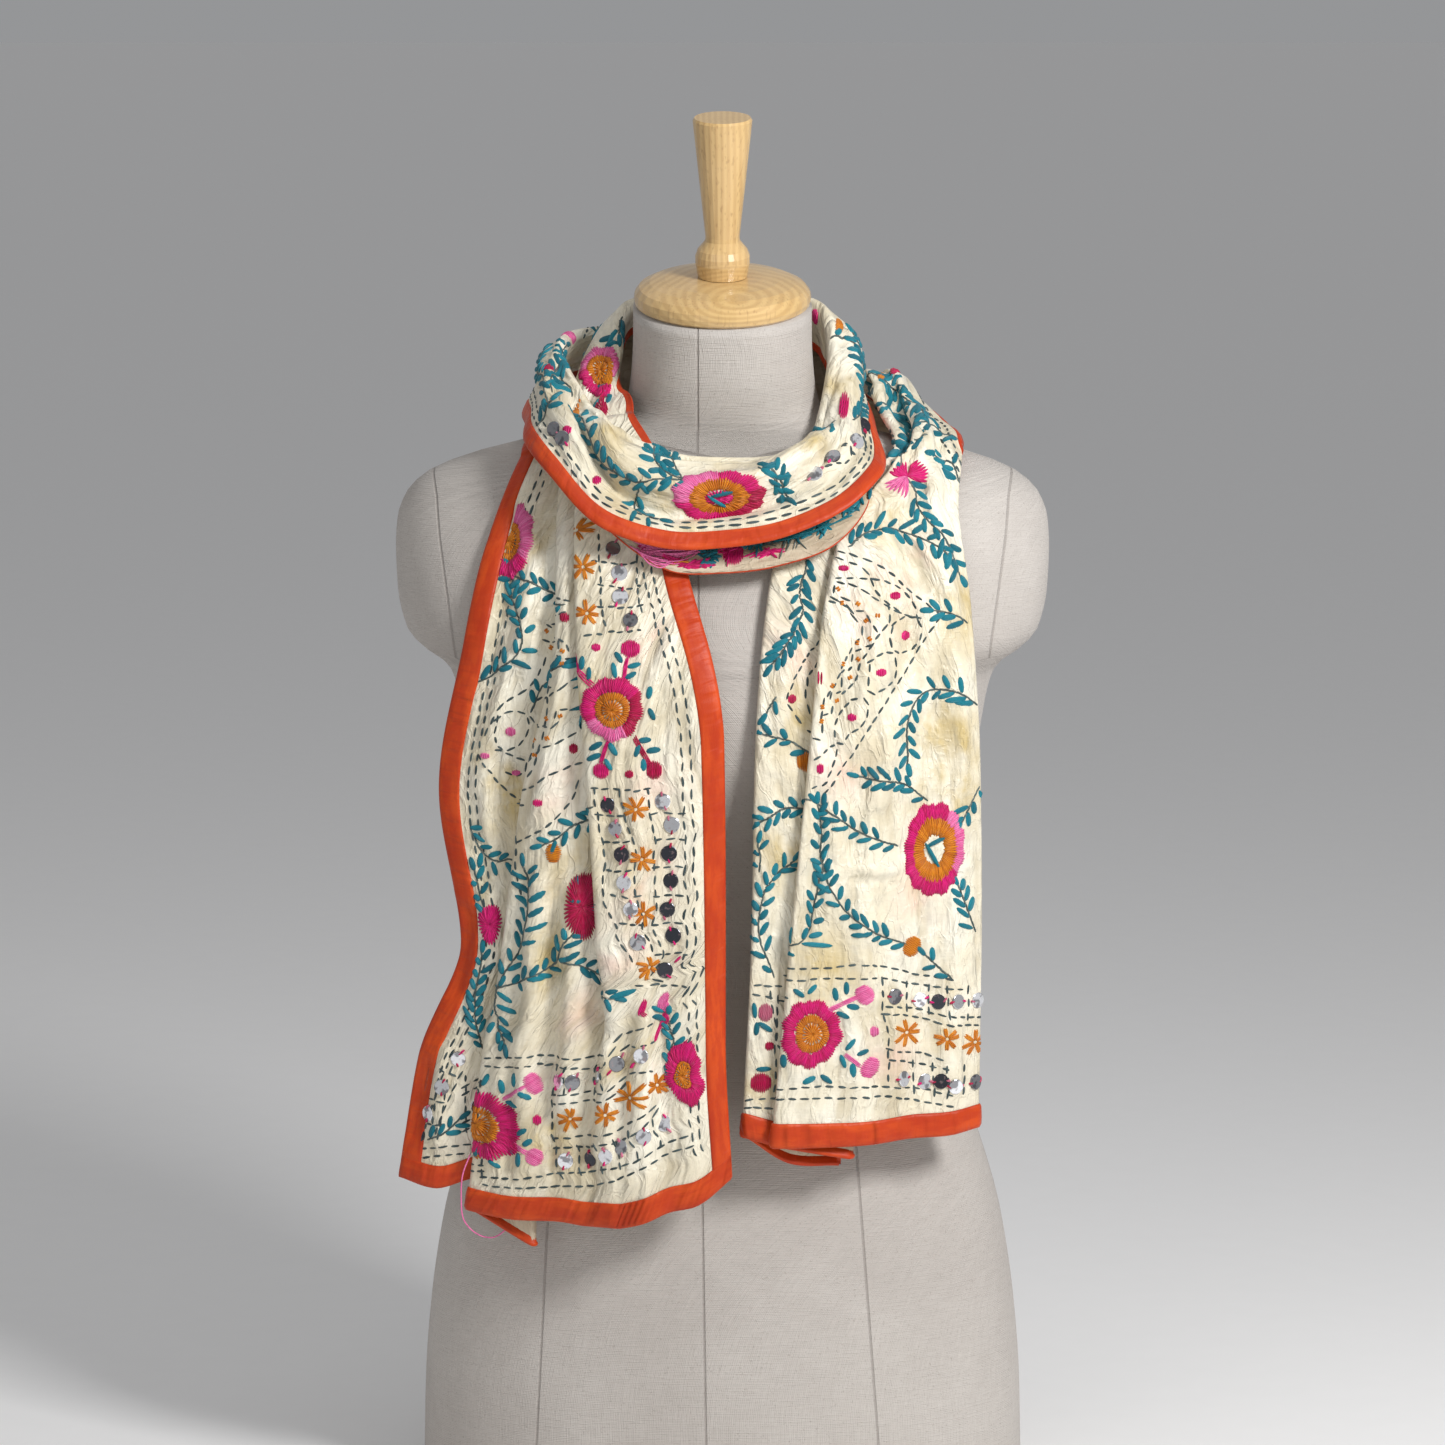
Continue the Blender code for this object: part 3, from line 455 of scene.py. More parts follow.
FRONT_LOOP = [
    Wrap(262, 0.090, 0.663, 0.068, 0.722, 0.064, 0.694, 0.010),
    Wrap(278, 0.093, 0.659, 0.069, 0.705, 0.068, 0.681, 0.010),
    Wrap(293, 0.101, 0.655, 0.071, 0.688, 0.077, 0.664, 0.010),
    Wrap(306, 0.120, 0.643, 0.075, 0.670, 0.103, 0.647, 0.010),
    Wrap(318, 0.138, 0.635, 0.083, 0.657, 0.130, 0.620, 0.011),
    Wrap(330, 0.142, 0.618, 0.087, 0.648, 0.132, 0.596, 0.012),
    Wrap(345, 0.136, 0.603, 0.084, 0.645, 0.124, 0.584, 0.013),
    Wrap(360, 0.132, 0.597, 0.083, 0.645, 0.120, 0.580, 0.013),
    Wrap(375, 0.137, 0.597, 0.091, 0.647, 0.126, 0.582, 0.013),
    Wrap(390, 0.147, 0.610, 0.101, 0.656, 0.1375, 0.607, 0.012),
    Wrap(405, 0.1455, 0.638, 0.106, 0.671, 0.1365, 0.638, 0.010),
    Wrap(420, 0.136, 0.653, 0.105, 0.691, 0.1265, 0.655, 0.008),
    Wrap(437, 0.122, 0.660, 0.102, 0.705, 0.112, 0.667, 0.007),
]
BACK_WRAP = [
    Wrap(456, 0.122, 0.664, 0.097, 0.713, 0.108, 0.680, 0.006),
    Wrap(480, 0.118, 0.660, 0.092, 0.715, 0.100, 0.686, 0.006),
    Wrap(510, 0.116, 0.654, 0.090, 0.714, 0.094, 0.688, 0.007),
    Wrap(540, 0.114, 0.648, 0.088, 0.713, 0.092, 0.686, 0.007),
    Wrap(566, 0.122, 0.644, 0.091, 0.711, 0.095, 0.688, 0.007),
]
FACE_PROFILE = ((0.0, 0.0), (0.25, 0.20), (0.40, 0.25), (0.56, 0.85), (0.78, 1.00))
CREST_TURN = 0.0042
CREST_PROFILE = ((1.0, -0.8), (0.0, 0.0), (-0.9, -1.0))
LEG_SHARE = 0.4
LEG_SAG = 0.0013
BEYOND_START = 0.025
PATH_STEP = 0.004
PATH_SPACING = 0.002
TYPICAL_REACH = 0.090
LIFT_SETTLES = 0.8
TURN_CHANGES = 0.45
PATH_TOP = 0.672
PATH_END = 0.150
PATH_FINE = 0.0015
PATH_SMOOTHINGS = 6
BACK_REACH = 0.085
CURVE_STEPS = 8
# Finer than the solids: how far apart the sheet's rows and columns lie, and how long the
# folds of a tail take to open into the winding
ROW_STEP = 0.0030
COLUMN_STEP = 0.0023
FEWEST_STEPS = 2
FOLDS_OPEN = 0.034


def ease(t):
    t = np.clip(t, 0.0, 1.0)
    return t * t * (3 - 2 * t)


def curve_point(points, at):
    """Point at a place (a whole number is a table point) on a smooth curve through points."""
    i = min(max(int(math.floor(at)), 0), len(points) - 2)
    t = at - i
    p1, p2 = points[i], points[i + 1]
    chord = np.linalg.norm(p2 - p1) + 1e-9
    start = end = p2 - p1
    if i > 0:
        before = points[i - 1]
        reach = np.linalg.norm(p1 - before) + 1e-9
        start = chord * (p2 - before) / (reach + chord)
    if i < len(points) - 2:
        after = points[i + 2]
        reach = np.linalg.norm(after - p2) + 1e-9
        end = chord * (after - p1) / (reach + chord)
    return ((2 * t**3 - 3 * t**2 + 1) * p1 + (t**3 - 2 * t**2 + t) * start
            + (3 * t**2 - 2 * t**3) * p2 + (t**3 - t**2) * end)


def curve_line(points, steps):
    """Table places, so many between two points, and the smooth curve's points at them."""
    places = np.linspace(0, len(points) - 1, steps * (len(points) - 1) + 1)
    return places, np.array([curve_point(points, place) for place in places])


def lengths_along(line):
    """Distance of each point of a line from its first."""
    return np.concatenate([[0], np.cumsum(np.linalg.norm(np.diff(line, axis=0), axis=1))])


def mean_lengths(grid):
    """Distance of each row of a grid from its first, as the mean of its columns."""
    return np.concatenate([[0], np.cumsum(np.linalg.norm(np.diff(grid, axis=0), axis=2).mean(axis=1))])


def at_places(places, line, wanted):
    """A line's values at wanted places, worked out between the places where they are known."""
    return np.stack([np.interp(wanted, places, column) for column in line.T], axis=-1)


def unit(ways, least=0.0):
    return ways / (np.linalg.norm(ways, axis=-1, keepdims=True) + least)


def form_face(x, height, side):
    """The form's front (side -1) or back (side 1) at a place across, or None past its side."""
    share = abs(x) / form_size("half_width", height)
    if share >= 1:
        return None
    depth = (1 - share ** SQUARENESS) ** (1 / SQUARENESS)
    return form_size("middle", height) + side * form_size("front" if side < 0 else "back", height) * depth


PATHS = {}


def taut_path(reach):
    """Line in the front-to-back plane at this distance from the middle, with its lengths."""
    key = round(reach / PATH_SPACING)
    if key in PATHS:
        return PATHS[key]
    reach = key * PATH_SPACING
    back, front = [], []
    height = min(FORM_RINGS, key=lambda ring: -ring.front).height
    while height < PATH_TOP:
        if form_face(reach, height, 1) is not None:
            back.append((form_face(reach, height, 1), height))
            front.append((form_face(reach, height, -1), height))
        height += PATH_FINE
    line = [p for p in back if p[0] < BACK_REACH] + front[::-1]
    line.append((min(p[0] for p in front), PATH_END))
    hull = []
    for p in line:
        while len(hull) > 1:
            ax, az = hull[-1][0] - hull[-2][0], hull[-1][1] - hull[-2][1]
            bx, bz = p[0] - hull[-1][0], p[1] - hull[-1][1]
            if ax * bz - az * bx > 0:
                break
            hull.pop()
        hull.append(p)
    hull = np.array(hull)
    lengths = lengths_along(hull)
    even = np.arange(0, lengths[-1], PATH_STEP)
    line = at_places(lengths, hull, even)
    for _ in range(PATH_SMOOTHINGS):
        line[1:-1] = 0.25 * line[:-2] + 0.5 * line[1:-1] + 0.25 * line[2:]
    PATHS[key] = (even, line)
    return PATHS[key]


def along_path(reach_key, start_y, hem):
    """A taut line with the lengths at which a tail starts on it and ends."""
    lengths, line = taut_path(reach_key * PATH_SPACING)
    start = np.interp(-start_y, -line[:, 0], lengths)
    crown = int(np.argmax(line[:, 1]))
    return lengths, line, start, np.interp(-hem, -line[crown:, 1], lengths[crown:])


def on_path(across, share, start_y, hem, lift):
    """Point at a share of the way from the tail's start to its hem, lifted off the form."""
    reach = min(abs(across), SIDE_REACH)
    low = math.floor(reach / PATH_SPACING)
    blend = reach / PATH_SPACING - low
    total = np.zeros(2)
    for key, weight in ((low, 1 - blend), (low + 1, blend)):
        lengths, line, start, end = along_path(key, start_y, hem)
        at = start + share * (end - start)
        here, ahead, behind = [at_places(lengths, line, at + step) for step in (0, PATH_STEP, -PATH_STEP)]
        run = (ahead - behind) / np.linalg.norm(ahead - behind)
        total += weight * (here + (CLEAR_OF_FORM + lift) * np.array([run[1], -run[0]]))
    return np.array([across, total[0] + (abs(across) - reach) * SIDE_FALL, total[1]])


def tail_measures(tail):
    """Share of the way down at which the tail reaches each table height, and its length."""
    key = round(TYPICAL_REACH / PATH_SPACING)
    start, end = along_path(key, tail.start_y, tail.heights[-1])[2:]
    spots = [along_path(key, tail.start_y, height)[3] for height in tail.heights[1:]]
    return [0.0] + [(spot - start) / (end - start) for spot in spots], end - start


def tail_section(tail, shares, share):
    """Points of a tail's section: its creases, with three points where the cloth turns."""
    across = [smooth_through(shares, crease.across, share) for crease in tail.creases]
    tops = [crease.across[0] for crease in tail.creases]
    onward = math.copysign(1, tops[-1] - tops[0])
    settle = ease(share / LIFT_SETTLES)
    low = ease((share - TURN_CHANGES) / (1 - TURN_CHANGES))
    points = []
    for k, crease in enumerate(tail.creases):
        lift = crease.lift_top + (crease.lift_hem - crease.lift_top) * settle
        spots = [(across[k], lift)]
        if crease.turn_chest:
            steps = [across[k] - across[k - 1], across[k + 1] - across[k]]
            opened = ease(min(step * onward for step in steps) / TURN_OPENS)
            turn = (crease.turn_chest + (crease.turn_hem - crease.turn_chest) * low) * (1 - opened)
            room = abs(crease.turn_chest)
            came, goes = [min(max(step / (2 * room), -1), 1) * room for step in steps]
            spots = [(across[k] - came, lift - turn), spots[0], (across[k] + goes, lift + turn)]
        for place, height in spots:
            start_y = tail.start_y + (min(max(place, min(tops)), max(tops)) - min(tops)) * tail.start_slope
            hump = tail.hump * ease((HUMP_FOOT - place) / (HUMP_FOOT - HUMP_TOP))
            hump *= 1 - ease(share / HUMP_END)
            points.append(on_path(place, share, start_y, crease.hem, height + hump))
    return np.array(points)


def wrap_section(row):
    """Lower edge, belly, crest and under edge of one station of the winding."""
    low = np.array([row.low_r, row.low_z])
    crest = np.array([row.crest_r, row.crest_z])
    under = np.array([row.under_r, row.under_z])
    face = crest - low
    out = np.array([face[1], -face[0]]) / np.linalg.norm(face)
    corners = [low + face * way + out * row.belly * bulge for way, bulge in FACE_PROFILE]
    corners += [crest + CREST_TURN * np.array(spot) for spot in CREST_PROFILE]
    corners += [corners[-1] + (under - corners[-1]) * LEG_SHARE - np.array([0, LEG_SAG]), under]
    turn = math.radians(row.angle)
    return np.array([(-r * math.sin(turn), NECK_AXIS_Y - r * math.cos(turn), z) for r, z in corners])


def column_places(places, lines):
    """Places across a sheet, as many between two creases as their distance asks for."""
    lengths = np.mean([lengths_along(line) for line in lines], axis=0)
    wanted = []
    for i in range(round(places[-1])):
        span = np.interp(i + 1, places, lengths) - np.interp(i, places, lengths)
        steps = max(FEWEST_STEPS, math.ceil(span / COLUMN_STEP))
        wanted += [i + k / steps for k in range(steps)]
    return np.array(wanted + [places[-1]])


MM = 0.001
# Over how many half widths a crease fades out, and how much deeper all are than listed
FADE_OUT = 2.0
CREASED = 2.0
# Creases of the cloth: half width, rise (below nought for a trough), then the places that it
# runs through, all in millimetres down from the stretch's start and in from its outer edge
LEFT_CREASES = [
    (6, 1.6, (39, 13), (78, 19), (126, 22), (164, 21)), (7, -2.0, (57, 30), (109, 40), (146, 43)),
    (6, 1.5, (112, 50), (162, 58), (200, 55), (238, 48)),
    (7, -2.2, (155, 34), (195, 32), (234, 31), (267, 30)),
    (5, -1.4, (148, 108), (183, 116), (219, 121), (248, 119)),
    (6, 1.2, (192, 134), (222, 140), (250, 135)), (5, 1.5, (226, 25), (265, 25), (297, 22)),
    (6, 1.6, (299, 9), (340, 3), (373, 8)), (5, -1.2, (365, 112), (391, 125), (448, 150)),
    (5, 1.8, (271, 116), (309, 112), (346, 123), (383, 140)),
    (6, -1.9, (273, 125), (322, 125), (378, 147), (427, 171)),
    (5, 1.8, (281, 135), (329, 137), (379, 157), (415, 175)),
    (7, -3.0, (286, 150), (318, 148), (354, 163), (390, 183), (432, 201)),
    (5, 1.7, (330, 144), (366, 158), (409, 184), (463, 206)),
    (6, 2.0, (338, 181), (372, 191), (414, 209), (461, 226)),
    (5, -1.6, (346, 192), (374, 202), (414, 221), (455, 235)),
    (4, 1.4, (357, 172), (373, 198), (385, 216)),
    (5, 1.4, (359, 207), (395, 225), (428, 239), (452, 248)),
    (5, -1.4, (369, 220), (406, 244), (440, 256)), (4, 1.5, (390, 148), (427, 165), (467, 182)),
    (4, -1.3, (390, 139), (427, 156), (467, 173)), (4, -1.4, (391, 159), (434, 179), (470, 194)),
    (4, 1.2, (367, 231), (403, 254), (445, 279)), (5, 1.0, (121, 165), (156, 186), (193, 196)),
    (5, -1.0, (125, 184), (162, 215), (193, 237)), (4, -1.0, (221, 233), (241, 228), (272, 226)),
    (4, 0.9, (158, 218), (195, 241), (229, 253)), (6, -1.4, (312, 190), (329, 198), (344, 206)),
    (5, 1.2, (231, 215), (265, 206), (296, 202)), (5, 1.3, (408, 8), (435, 6), (469, 6)),
    (5, -1.3, (392, 16), (431, 20), (471, 24)), (4, -0.9, (77, 17), (87, 35)),
    (4, 0.8, (114, 20), (127, 43)), (4, -0.8, (203, 202), (216, 233)),
]
RIGHT_CREASES = [
    (6, 2.2, (35, 68), (146, 63)), (6, -2.2, (36, 57), (94, 63), (165, 58)),
    (6, 2.0, (67, 40), (128, 40), (185, 52)), (5, -1.6, (110, 28), (160, 35), (196, 47)),
    (6, -1.6, (176, 79), (207, 83), (237, 88)), (6, 1.4, (185, 100), (217, 118), (249, 133)),
    (6, 1.6, (197, 58), (227, 65), (262, 72)), (6, -1.4, (243, 91), (275, 109), (319, 136)),
    (6, 1.5, (238, 116), (283, 136), (332, 159)), (5, -1.5, (262, 140), (297, 155), (335, 172)),
    (7, -1.4, (267, 83), (302, 94), (345, 103)), (6, 1.2, (272, 71), (315, 78), (363, 86)),
    (7, 1.6, (291, 120), (332, 134), (368, 141)), (6, -1.7, (319, 143), (356, 153), (392, 160)),
    (6, 1.6, (357, 167), (393, 168), (436, 174)), (5, -1.5, (348, 177), (390, 182), (438, 190)),
    (4, 1.6, (398, 168), (400, 149), (402, 124)), (4, -1.6, (403, 166), (405, 148), (407, 127)),
    (6, -1.4, (405, 143), (436, 141), (470, 144)), (6, 1.3, (417, 156), (447, 156), (479, 154)),
    (6, 1.4, (418, 125), (447, 118), (474, 121)), (6, -1.2, (427, 102), (460, 101), (491, 105)),
    (5, 1.2, (479, 167), (509, 164), (540, 166)), (5, -1.5, (479, 150), (510, 148), (542, 145)),
    (5, 1.3, (484, 137), (519, 133), (549, 130)), (5, -1.1, (491, 113), (522, 112), (550, 111)),
    (5, 1.1, (492, 97), (523, 93), (551, 93)), (4, -1.0, (516, 176), (531, 180), (545, 182)),
    (6, 1.4, (261, 243), (297, 266), (331, 280)), (6, -1.6, (258, 231), (306, 259), (346, 273)),
    (6, 1.2, (367, 290), (402, 295), (443, 304)), (5, -1.4, (377, 285), (424, 295), (472, 306)),
    (4, -1.2, (411, 98), (410, 88), (417, 72)), (4, 0.8, (435, 163), (433, 144), (439, 129)),
]
WINDING_CREASES = [
    (4.5, -3.5, (605, 52), (583, 42), (568, 35), (553, 30), (536, 26), (520, 23), (504, 23), (482, 26),
     (466, 27), (452, 28), (437, 32), (427, 34), (416, 39), (386, 38)),
    (7, 2.6, (590, 60), (572, 54), (556, 50), (538, 45), (520, 41), (499, 41), (474, 43), (451, 45),
     (430, 51), (400, 58)),
    (4, 0.8, (591, 21), (569, 16), (548, 15), (524, 12), (498, 12), (472, 12), (446, 17), (420, 21),
     (383, 18)),
    (4, -1.4, (20, 51), (45, 41)), (4, 1.0, (526, 82), (536, 63), (565, 67)),
    (6, 1.5, (436, 39), (385, 62), (343, 43), (303, 54)), (5, 1.1, (663, 53), (623, 38), (613, 27)),
    (4, -1.2, (674, 61), (624, 45), (603, 36)), (4, -0.6, (470, 62), (457, 46)),
    (5, -0.9, (61, 57), (39, 48), (16, 61)), (5, 0.8, (125, 20), (136, 0)), (5, -0.8, (261, 97), (278, 97)),
]


class Stretch:
    """A stretch of the stole: its rows of points, its right side and lengths on the cloth.

    Places on it are given as the distance down from its start and in from one of its edges.
    """

    def __init__(self, name, grid, side, creases=()):
        self.name = name
        self.side = side
        self.start = 0.0
        self.set_grid(grid)
        if creases:
            down = np.repeat(self.down[:, None], grid.shape[1], axis=1)
            lift = CREASED * sum(self.crease(down, self.across, *row) for row in creases)
            self.set_grid(grid + self.normals * (lift * side)[..., None])

    def crease(self, down, across, width, rise, *places):
        """Rise of the cloth along one crease, which fades out at both its ends."""
        places = np.array(places, float) * MM
        width *= MM
        nearest = np.full(down.shape, 1.0)
        passed = np.zeros(down.shape)
        total = 0.0
        for start, end in zip(places, places[1:]):
            run = end - start
            length = np.linalg.norm(run) + 1e-9
            run = run / length
            at = (down - start[0]) * run[0] + (across - start[1]) * run[1]
            held = np.clip(at, 0, length)
            off = np.hypot(down - start[0] - held * run[0], across - start[1] - held * run[1])
            closer = off < nearest
            nearest = np.where(closer, off, nearest)
            passed = np.where(closer, total + held, passed)
            total += length
        fade = ease(passed / (FADE_OUT * width)) * ease((total - passed) / (FADE_OUT * width))
        return rise * MM * np.exp(-(nearest / width) ** 2) * fade

    def set_grid(self, grid):
        self.grid = grid
        self.normals = unit(np.cross(np.gradient(grid, axis=1), np.gradient(grid, axis=0)) * self.side)
        self.down = mean_lengths(grid)
        steps = np.linalg.norm(np.diff(grid, axis=1), axis=2)
        self.across = np.concatenate([np.zeros((len(grid), 1)), np.cumsum(steps, axis=1)], axis=1)
        self.fine = {}

    def even(self, edge):
        """The grid and its facings again, in columns 1 mm apart counted in from one edge."""
        if edge not in self.fine:
            points = np.concatenate([self.grid, self.normals], axis=2)
            across = self.across
            if edge == "inner":
                points, across = points[:, ::-1], across[:, -1:] - across[:, ::-1]
            inward = np.arange(0, across[:, -1].max() + 2 * MM, MM)
            self.fine[edge] = np.array([at_places(*row, inward) for row in zip(across, points)])
        return self.fine[edge]

    def at(self, down, inward, edge="outer", lift=0.0):
        """Points on the cloth's right side, and the way that it faces there."""
        fine = self.even(edge)
        down, inward, lift = [np.asarray(v, float) for v in (down, inward, lift)]
        row = np.interp(down, self.down, np.arange(len(self.down)))
        r = np.minimum(row.astype(int), len(self.down) - 2)
        fr = (row - r)[..., None]
        column = np.clip(inward / MM, 0, fine.shape[1] - 1.001)
        c = column.astype(int)
        fc = (column - c)[..., None]
        both = ((fine[r, c] * (1 - fc) + fine[r, c + 1] * fc) * (1 - fr)
                + (fine[r + 1, c] * (1 - fc) + fine[r + 1, c + 1] * fc) * fr)
        facing = unit(both[..., 3:])
        return both[..., :3] + facing * lift[..., None], facing

    def part(self, name, first, last):
        """Rows of this stretch as a stretch of their own."""
        piece = Stretch(name, self.grid[first:last + 1], self.side)
        piece.normals = self.normals[first:last + 1]
        piece.start = self.down[first]
        return piece


def tail_stretch(tail, side, creases):
    shares, length = tail_measures(tail)
    rows = np.linspace(0, 1, math.ceil(length / ROW_STEP) + 1)
    sections = [curve_line(tail_section(tail, shares, share), CURVE_STEPS) for share in rows]
    places = sections[0][0]
    wanted = column_places(places, [line for _, line in sections])
    grid = np.array([at_places(places, line, wanted) for _, line in sections])
    return Stretch(tail.name, grid, side, creases)


def winding_rows(tails, tables):
    """Grid of the whole winding, and the rows at which each of its tables starts."""
    ends = []
    for tail in tails:
        shares, length = tail_measures(tail)
        inside, edge = [tail_section(tail, shares, share)[list(tail.joins)] for share in (BEYOND_START, 0.0)]
        ends.append([inside, edge, 2 * edge - inside])
    sections = [[wrap_section(row) for row in table] for table in tables]
    stations = [*ends[0], *sections[0], *sections[1], *sections[2], *reversed(ends[1])]
    starts = [1, 3 + len(tables[0]), 3 + len(tables[0]) + len(tables[1]), len(stations) - 2]
    spots, seams = [], []
    for i in range(1, len(stations) - 2):
        if i in starts:
            seams.append(len(spots))
        span = np.linalg.norm(stations[i + 1] - stations[i], axis=1).mean()
        steps = max(1, round(span / ROW_STEP))
        spots += [i + k / steps for k in range(steps)]
    seams.append(len(spots))
    spots.append(len(stations) - 2)
    lines = []
    for spot in spots:
        points = [curve_point([station[k] for station in stations], spot) for k in range(len(stations[0]))]
        places, line = curve_line(points, CURVE_STEPS)
        lines.append(line)
    wanted = column_places(places, lines)
    grid = np.array([at_places(places, line, wanted) for line in lines])
    down = mean_lengths(grid)
    for tail, distance in zip(tails, (down, down[-1] - down)):
        shares, length = tail_measures(tail)
        own_places = np.interp(wanted, range(len(tail.joins)), tail.joins)
        for r in np.flatnonzero(distance < FOLDS_OPEN):
            own = curve_line(tail_section(tail, shares, -distance[r] / length), CURVE_STEPS)
            weight = ease(distance[r] / FOLDS_OPEN)
            grid[r] = (1 - weight) * at_places(*own, own_places) + weight * grid[r]
    return grid, seams


left_tail = tail_stretch(LEFT_TAIL, -1, LEFT_CREASES)
right_tail = tail_stretch(RIGHT_TAIL, 1, RIGHT_CREASES)
winding_grid, seams = winding_rows((LEFT_TAIL, RIGHT_TAIL), (INNER_WRAP, FRONT_LOOP, BACK_WRAP))
winding = Stretch("winding", winding_grid, 1, WINDING_CREASES)
inner_wrap, front_loop, back_wrap = [winding.part(name, first, last) for name, first, last
                                     in zip(("inner_wrap", "front_loop", "back_wrap"), seams, seams[1:])]

shades, given, result = effect_group(
    "Crumpled silk", [("Where", "Vector"), ("Size", "Float", 0.014), ("Depth", "Float", 0.001)],
    [("Normal", "Vector"), ("Height", "Float")])
where = shades.scaled(given["Where"], given["Size"])
pleats = shades.noise(shades.stretch(where, (1.0, 0.16, 1.0), 5), 1.0, 2.0, 0.45, 0.5)
slanting = shades.noise(shades.stretch(where, (1.0, 0.34, 1.0), -38), 1.5, 2.0, 0.5, 0.5)
crossing = shades.noise(shades.stretch(where, (0.4, 1.0, 1.0), 14), 1.3, 2.0, 0.5, 0.4)
crushed = shades.noise(where, 5.0, 2.0, 0.55, 0.3)
creased = shades.noise(shades.stretch(where, (1.0, 0.5, 1.0), 24), 1.7, 2.0, 0.5, 0.6)
sharp = shades.math("MINIMUM", shades.math("ABSOLUTE", shades.less(creased, 0.5)), 0.06)
height = pleats
for wrinkles, share in ((slanting, 0.55), (crossing, 0.16), (crushed, 0.04), (sharp, -0.9)):
    height = shades.plus(height, shades.times(wrinkles, share))
shades.join(shades.relief(height, given["Depth"]), result["Normal"])
shades.join(height, result["Height"])


def silk(name, light, dark, hollow_shade, rough, stained):
    material, shader, shades = new_material(name, Roughness=rough, Specular_IOR_Level=0.5, Sheen_Weight=0.15,
                                            Sheen_Roughness=0.3)
    spread = shades.spread()
    patchy = shades.noise(spread, 16.0, 3.0)
    tint = shades.mix(shades.ramp(patchy, 0.35, 0.65), light, dark)
    if stained:
        cloudy = shades.noise(shades.stretch(spread, (1, 1, 1), 0, (3.1, 1.7, 0)), 34.0, 3.0)
        rosy = shades.times(shades.ramp(cloudy, 0.35, 0.65), shades.mark("rosy"))
        tint = shades.mix(shades.times(rosy, 0.55), tint, (0.82, 0.46, 0.38, 1))
        cloudy = shades.noise(shades.stretch(spread, (1, 0.7, 1), 0, (7.3, 2.9, 0)), 30.0, 4.0, 0.6)
        spots = shades.plus(shades.times(shades.mark("yellowed"), 0.85), 0.26)
        yellow = shades.times(shades.ramp(cloudy, 0.38, 0.68), spots)
        tint = shades.mix(yellow, tint, (0.55, 0.42, 0.18, 1))
        grimy = shades.ramp(shades.noise(spread, 60.0, 4.0, 0.65), 0.48, 0.66)
        tint = shades.mix(shades.times(grimy, 0.32), tint, (0.52, 0.49, 0.41, 1))
    weave = use_effect(shades, "Woven threads", Where=spread, Pitch=0.0009, Unevenness=0.6)["Height"]
    # Painted shade: the silk is darker where the weave sinks between its threads.
    tint = shades.mix(shades.ramp(weave, -0.8, 0.8, 0.10, 0.0), tint, dark)
    crumple = use_effect(shades, "Crumpled silk", Where=spread, Size=0.015, Depth=0.0062)
    # Painted shade: the hollows of the crinkles are darkened toward the hollow shade colour.
    tint = shades.mix(shades.ramp(crumple["Height"], 0.55, 0.85, 0.55, 0.0), tint, hollow_shade)
    shades.join(tint, shader.inputs["Base Color"])
    shades.join(shades.relief(weave, 0.00012, 0.6, crumple["Normal"]), shader.inputs["Normal"])
    return material


# The third colour of each silk is the painted shade for the hollows of its crinkles.
right_side_silk = silk("cream silk", (0.86, 0.815, 0.685, 1), (0.76, 0.69, 0.53, 1), (0.46, 0.38, 0.23, 1),
                       0.40, True)
backing = silk("beige backing", (0.62, 0.52, 0.38, 1), (0.52, 0.42, 0.29, 1), (0.34, 0.25, 0.16, 1),
               0.60, False)

# Old damp and dye that ran have left soft stains, at these millimetres down a stretch and in
# from its outer edge
YELLOWED = {
    left_tail: [(279, 158), (290, 217), (212, 41), (236, 55), (331, 150), (299, 16), (178, 194), (443, 212),
                (394, 252), (84, 36)],
    winding: [(522, 16), (508, 24), (424, 56), (338, 54), (563, 57), (491, 54), (605, 38)],
    right_tail: [(318, 97), (340, 94), (357, 92), (187, 92), (316, 262), (399, 284), (492, 109), (468, 182),
                 (245, 64), (544, 318)],
}
ROSY = {
    left_tail: [(237, 248), (331, 215), (293, 230), (228, 136), (363, 190), (162, 224)],
    winding: [(460, 47), (535, 9)],
    right_tail: [(217, 85), (250, 130), (232, 108), (281, 259), (342, 166), (426, 118), (519, 139),
                 (146, 94)],
}
STAIN_REACH = {"yellowed": 22.0, "rosy": 16.0}


def stain(stretch, spots, reach):
    """How far each point of a stretch is stained, from nought to one."""
    down = (stretch.start + stretch.down[:, None]) / MM
    across = stretch.across / MM
    marks = sum(np.exp(-((down - spot[0]) ** 2 + (across - spot[1]) ** 2) / reach ** 2) for spot in spots)
    return np.tile(np.clip(marks, 0, 1).ravel(), 2)


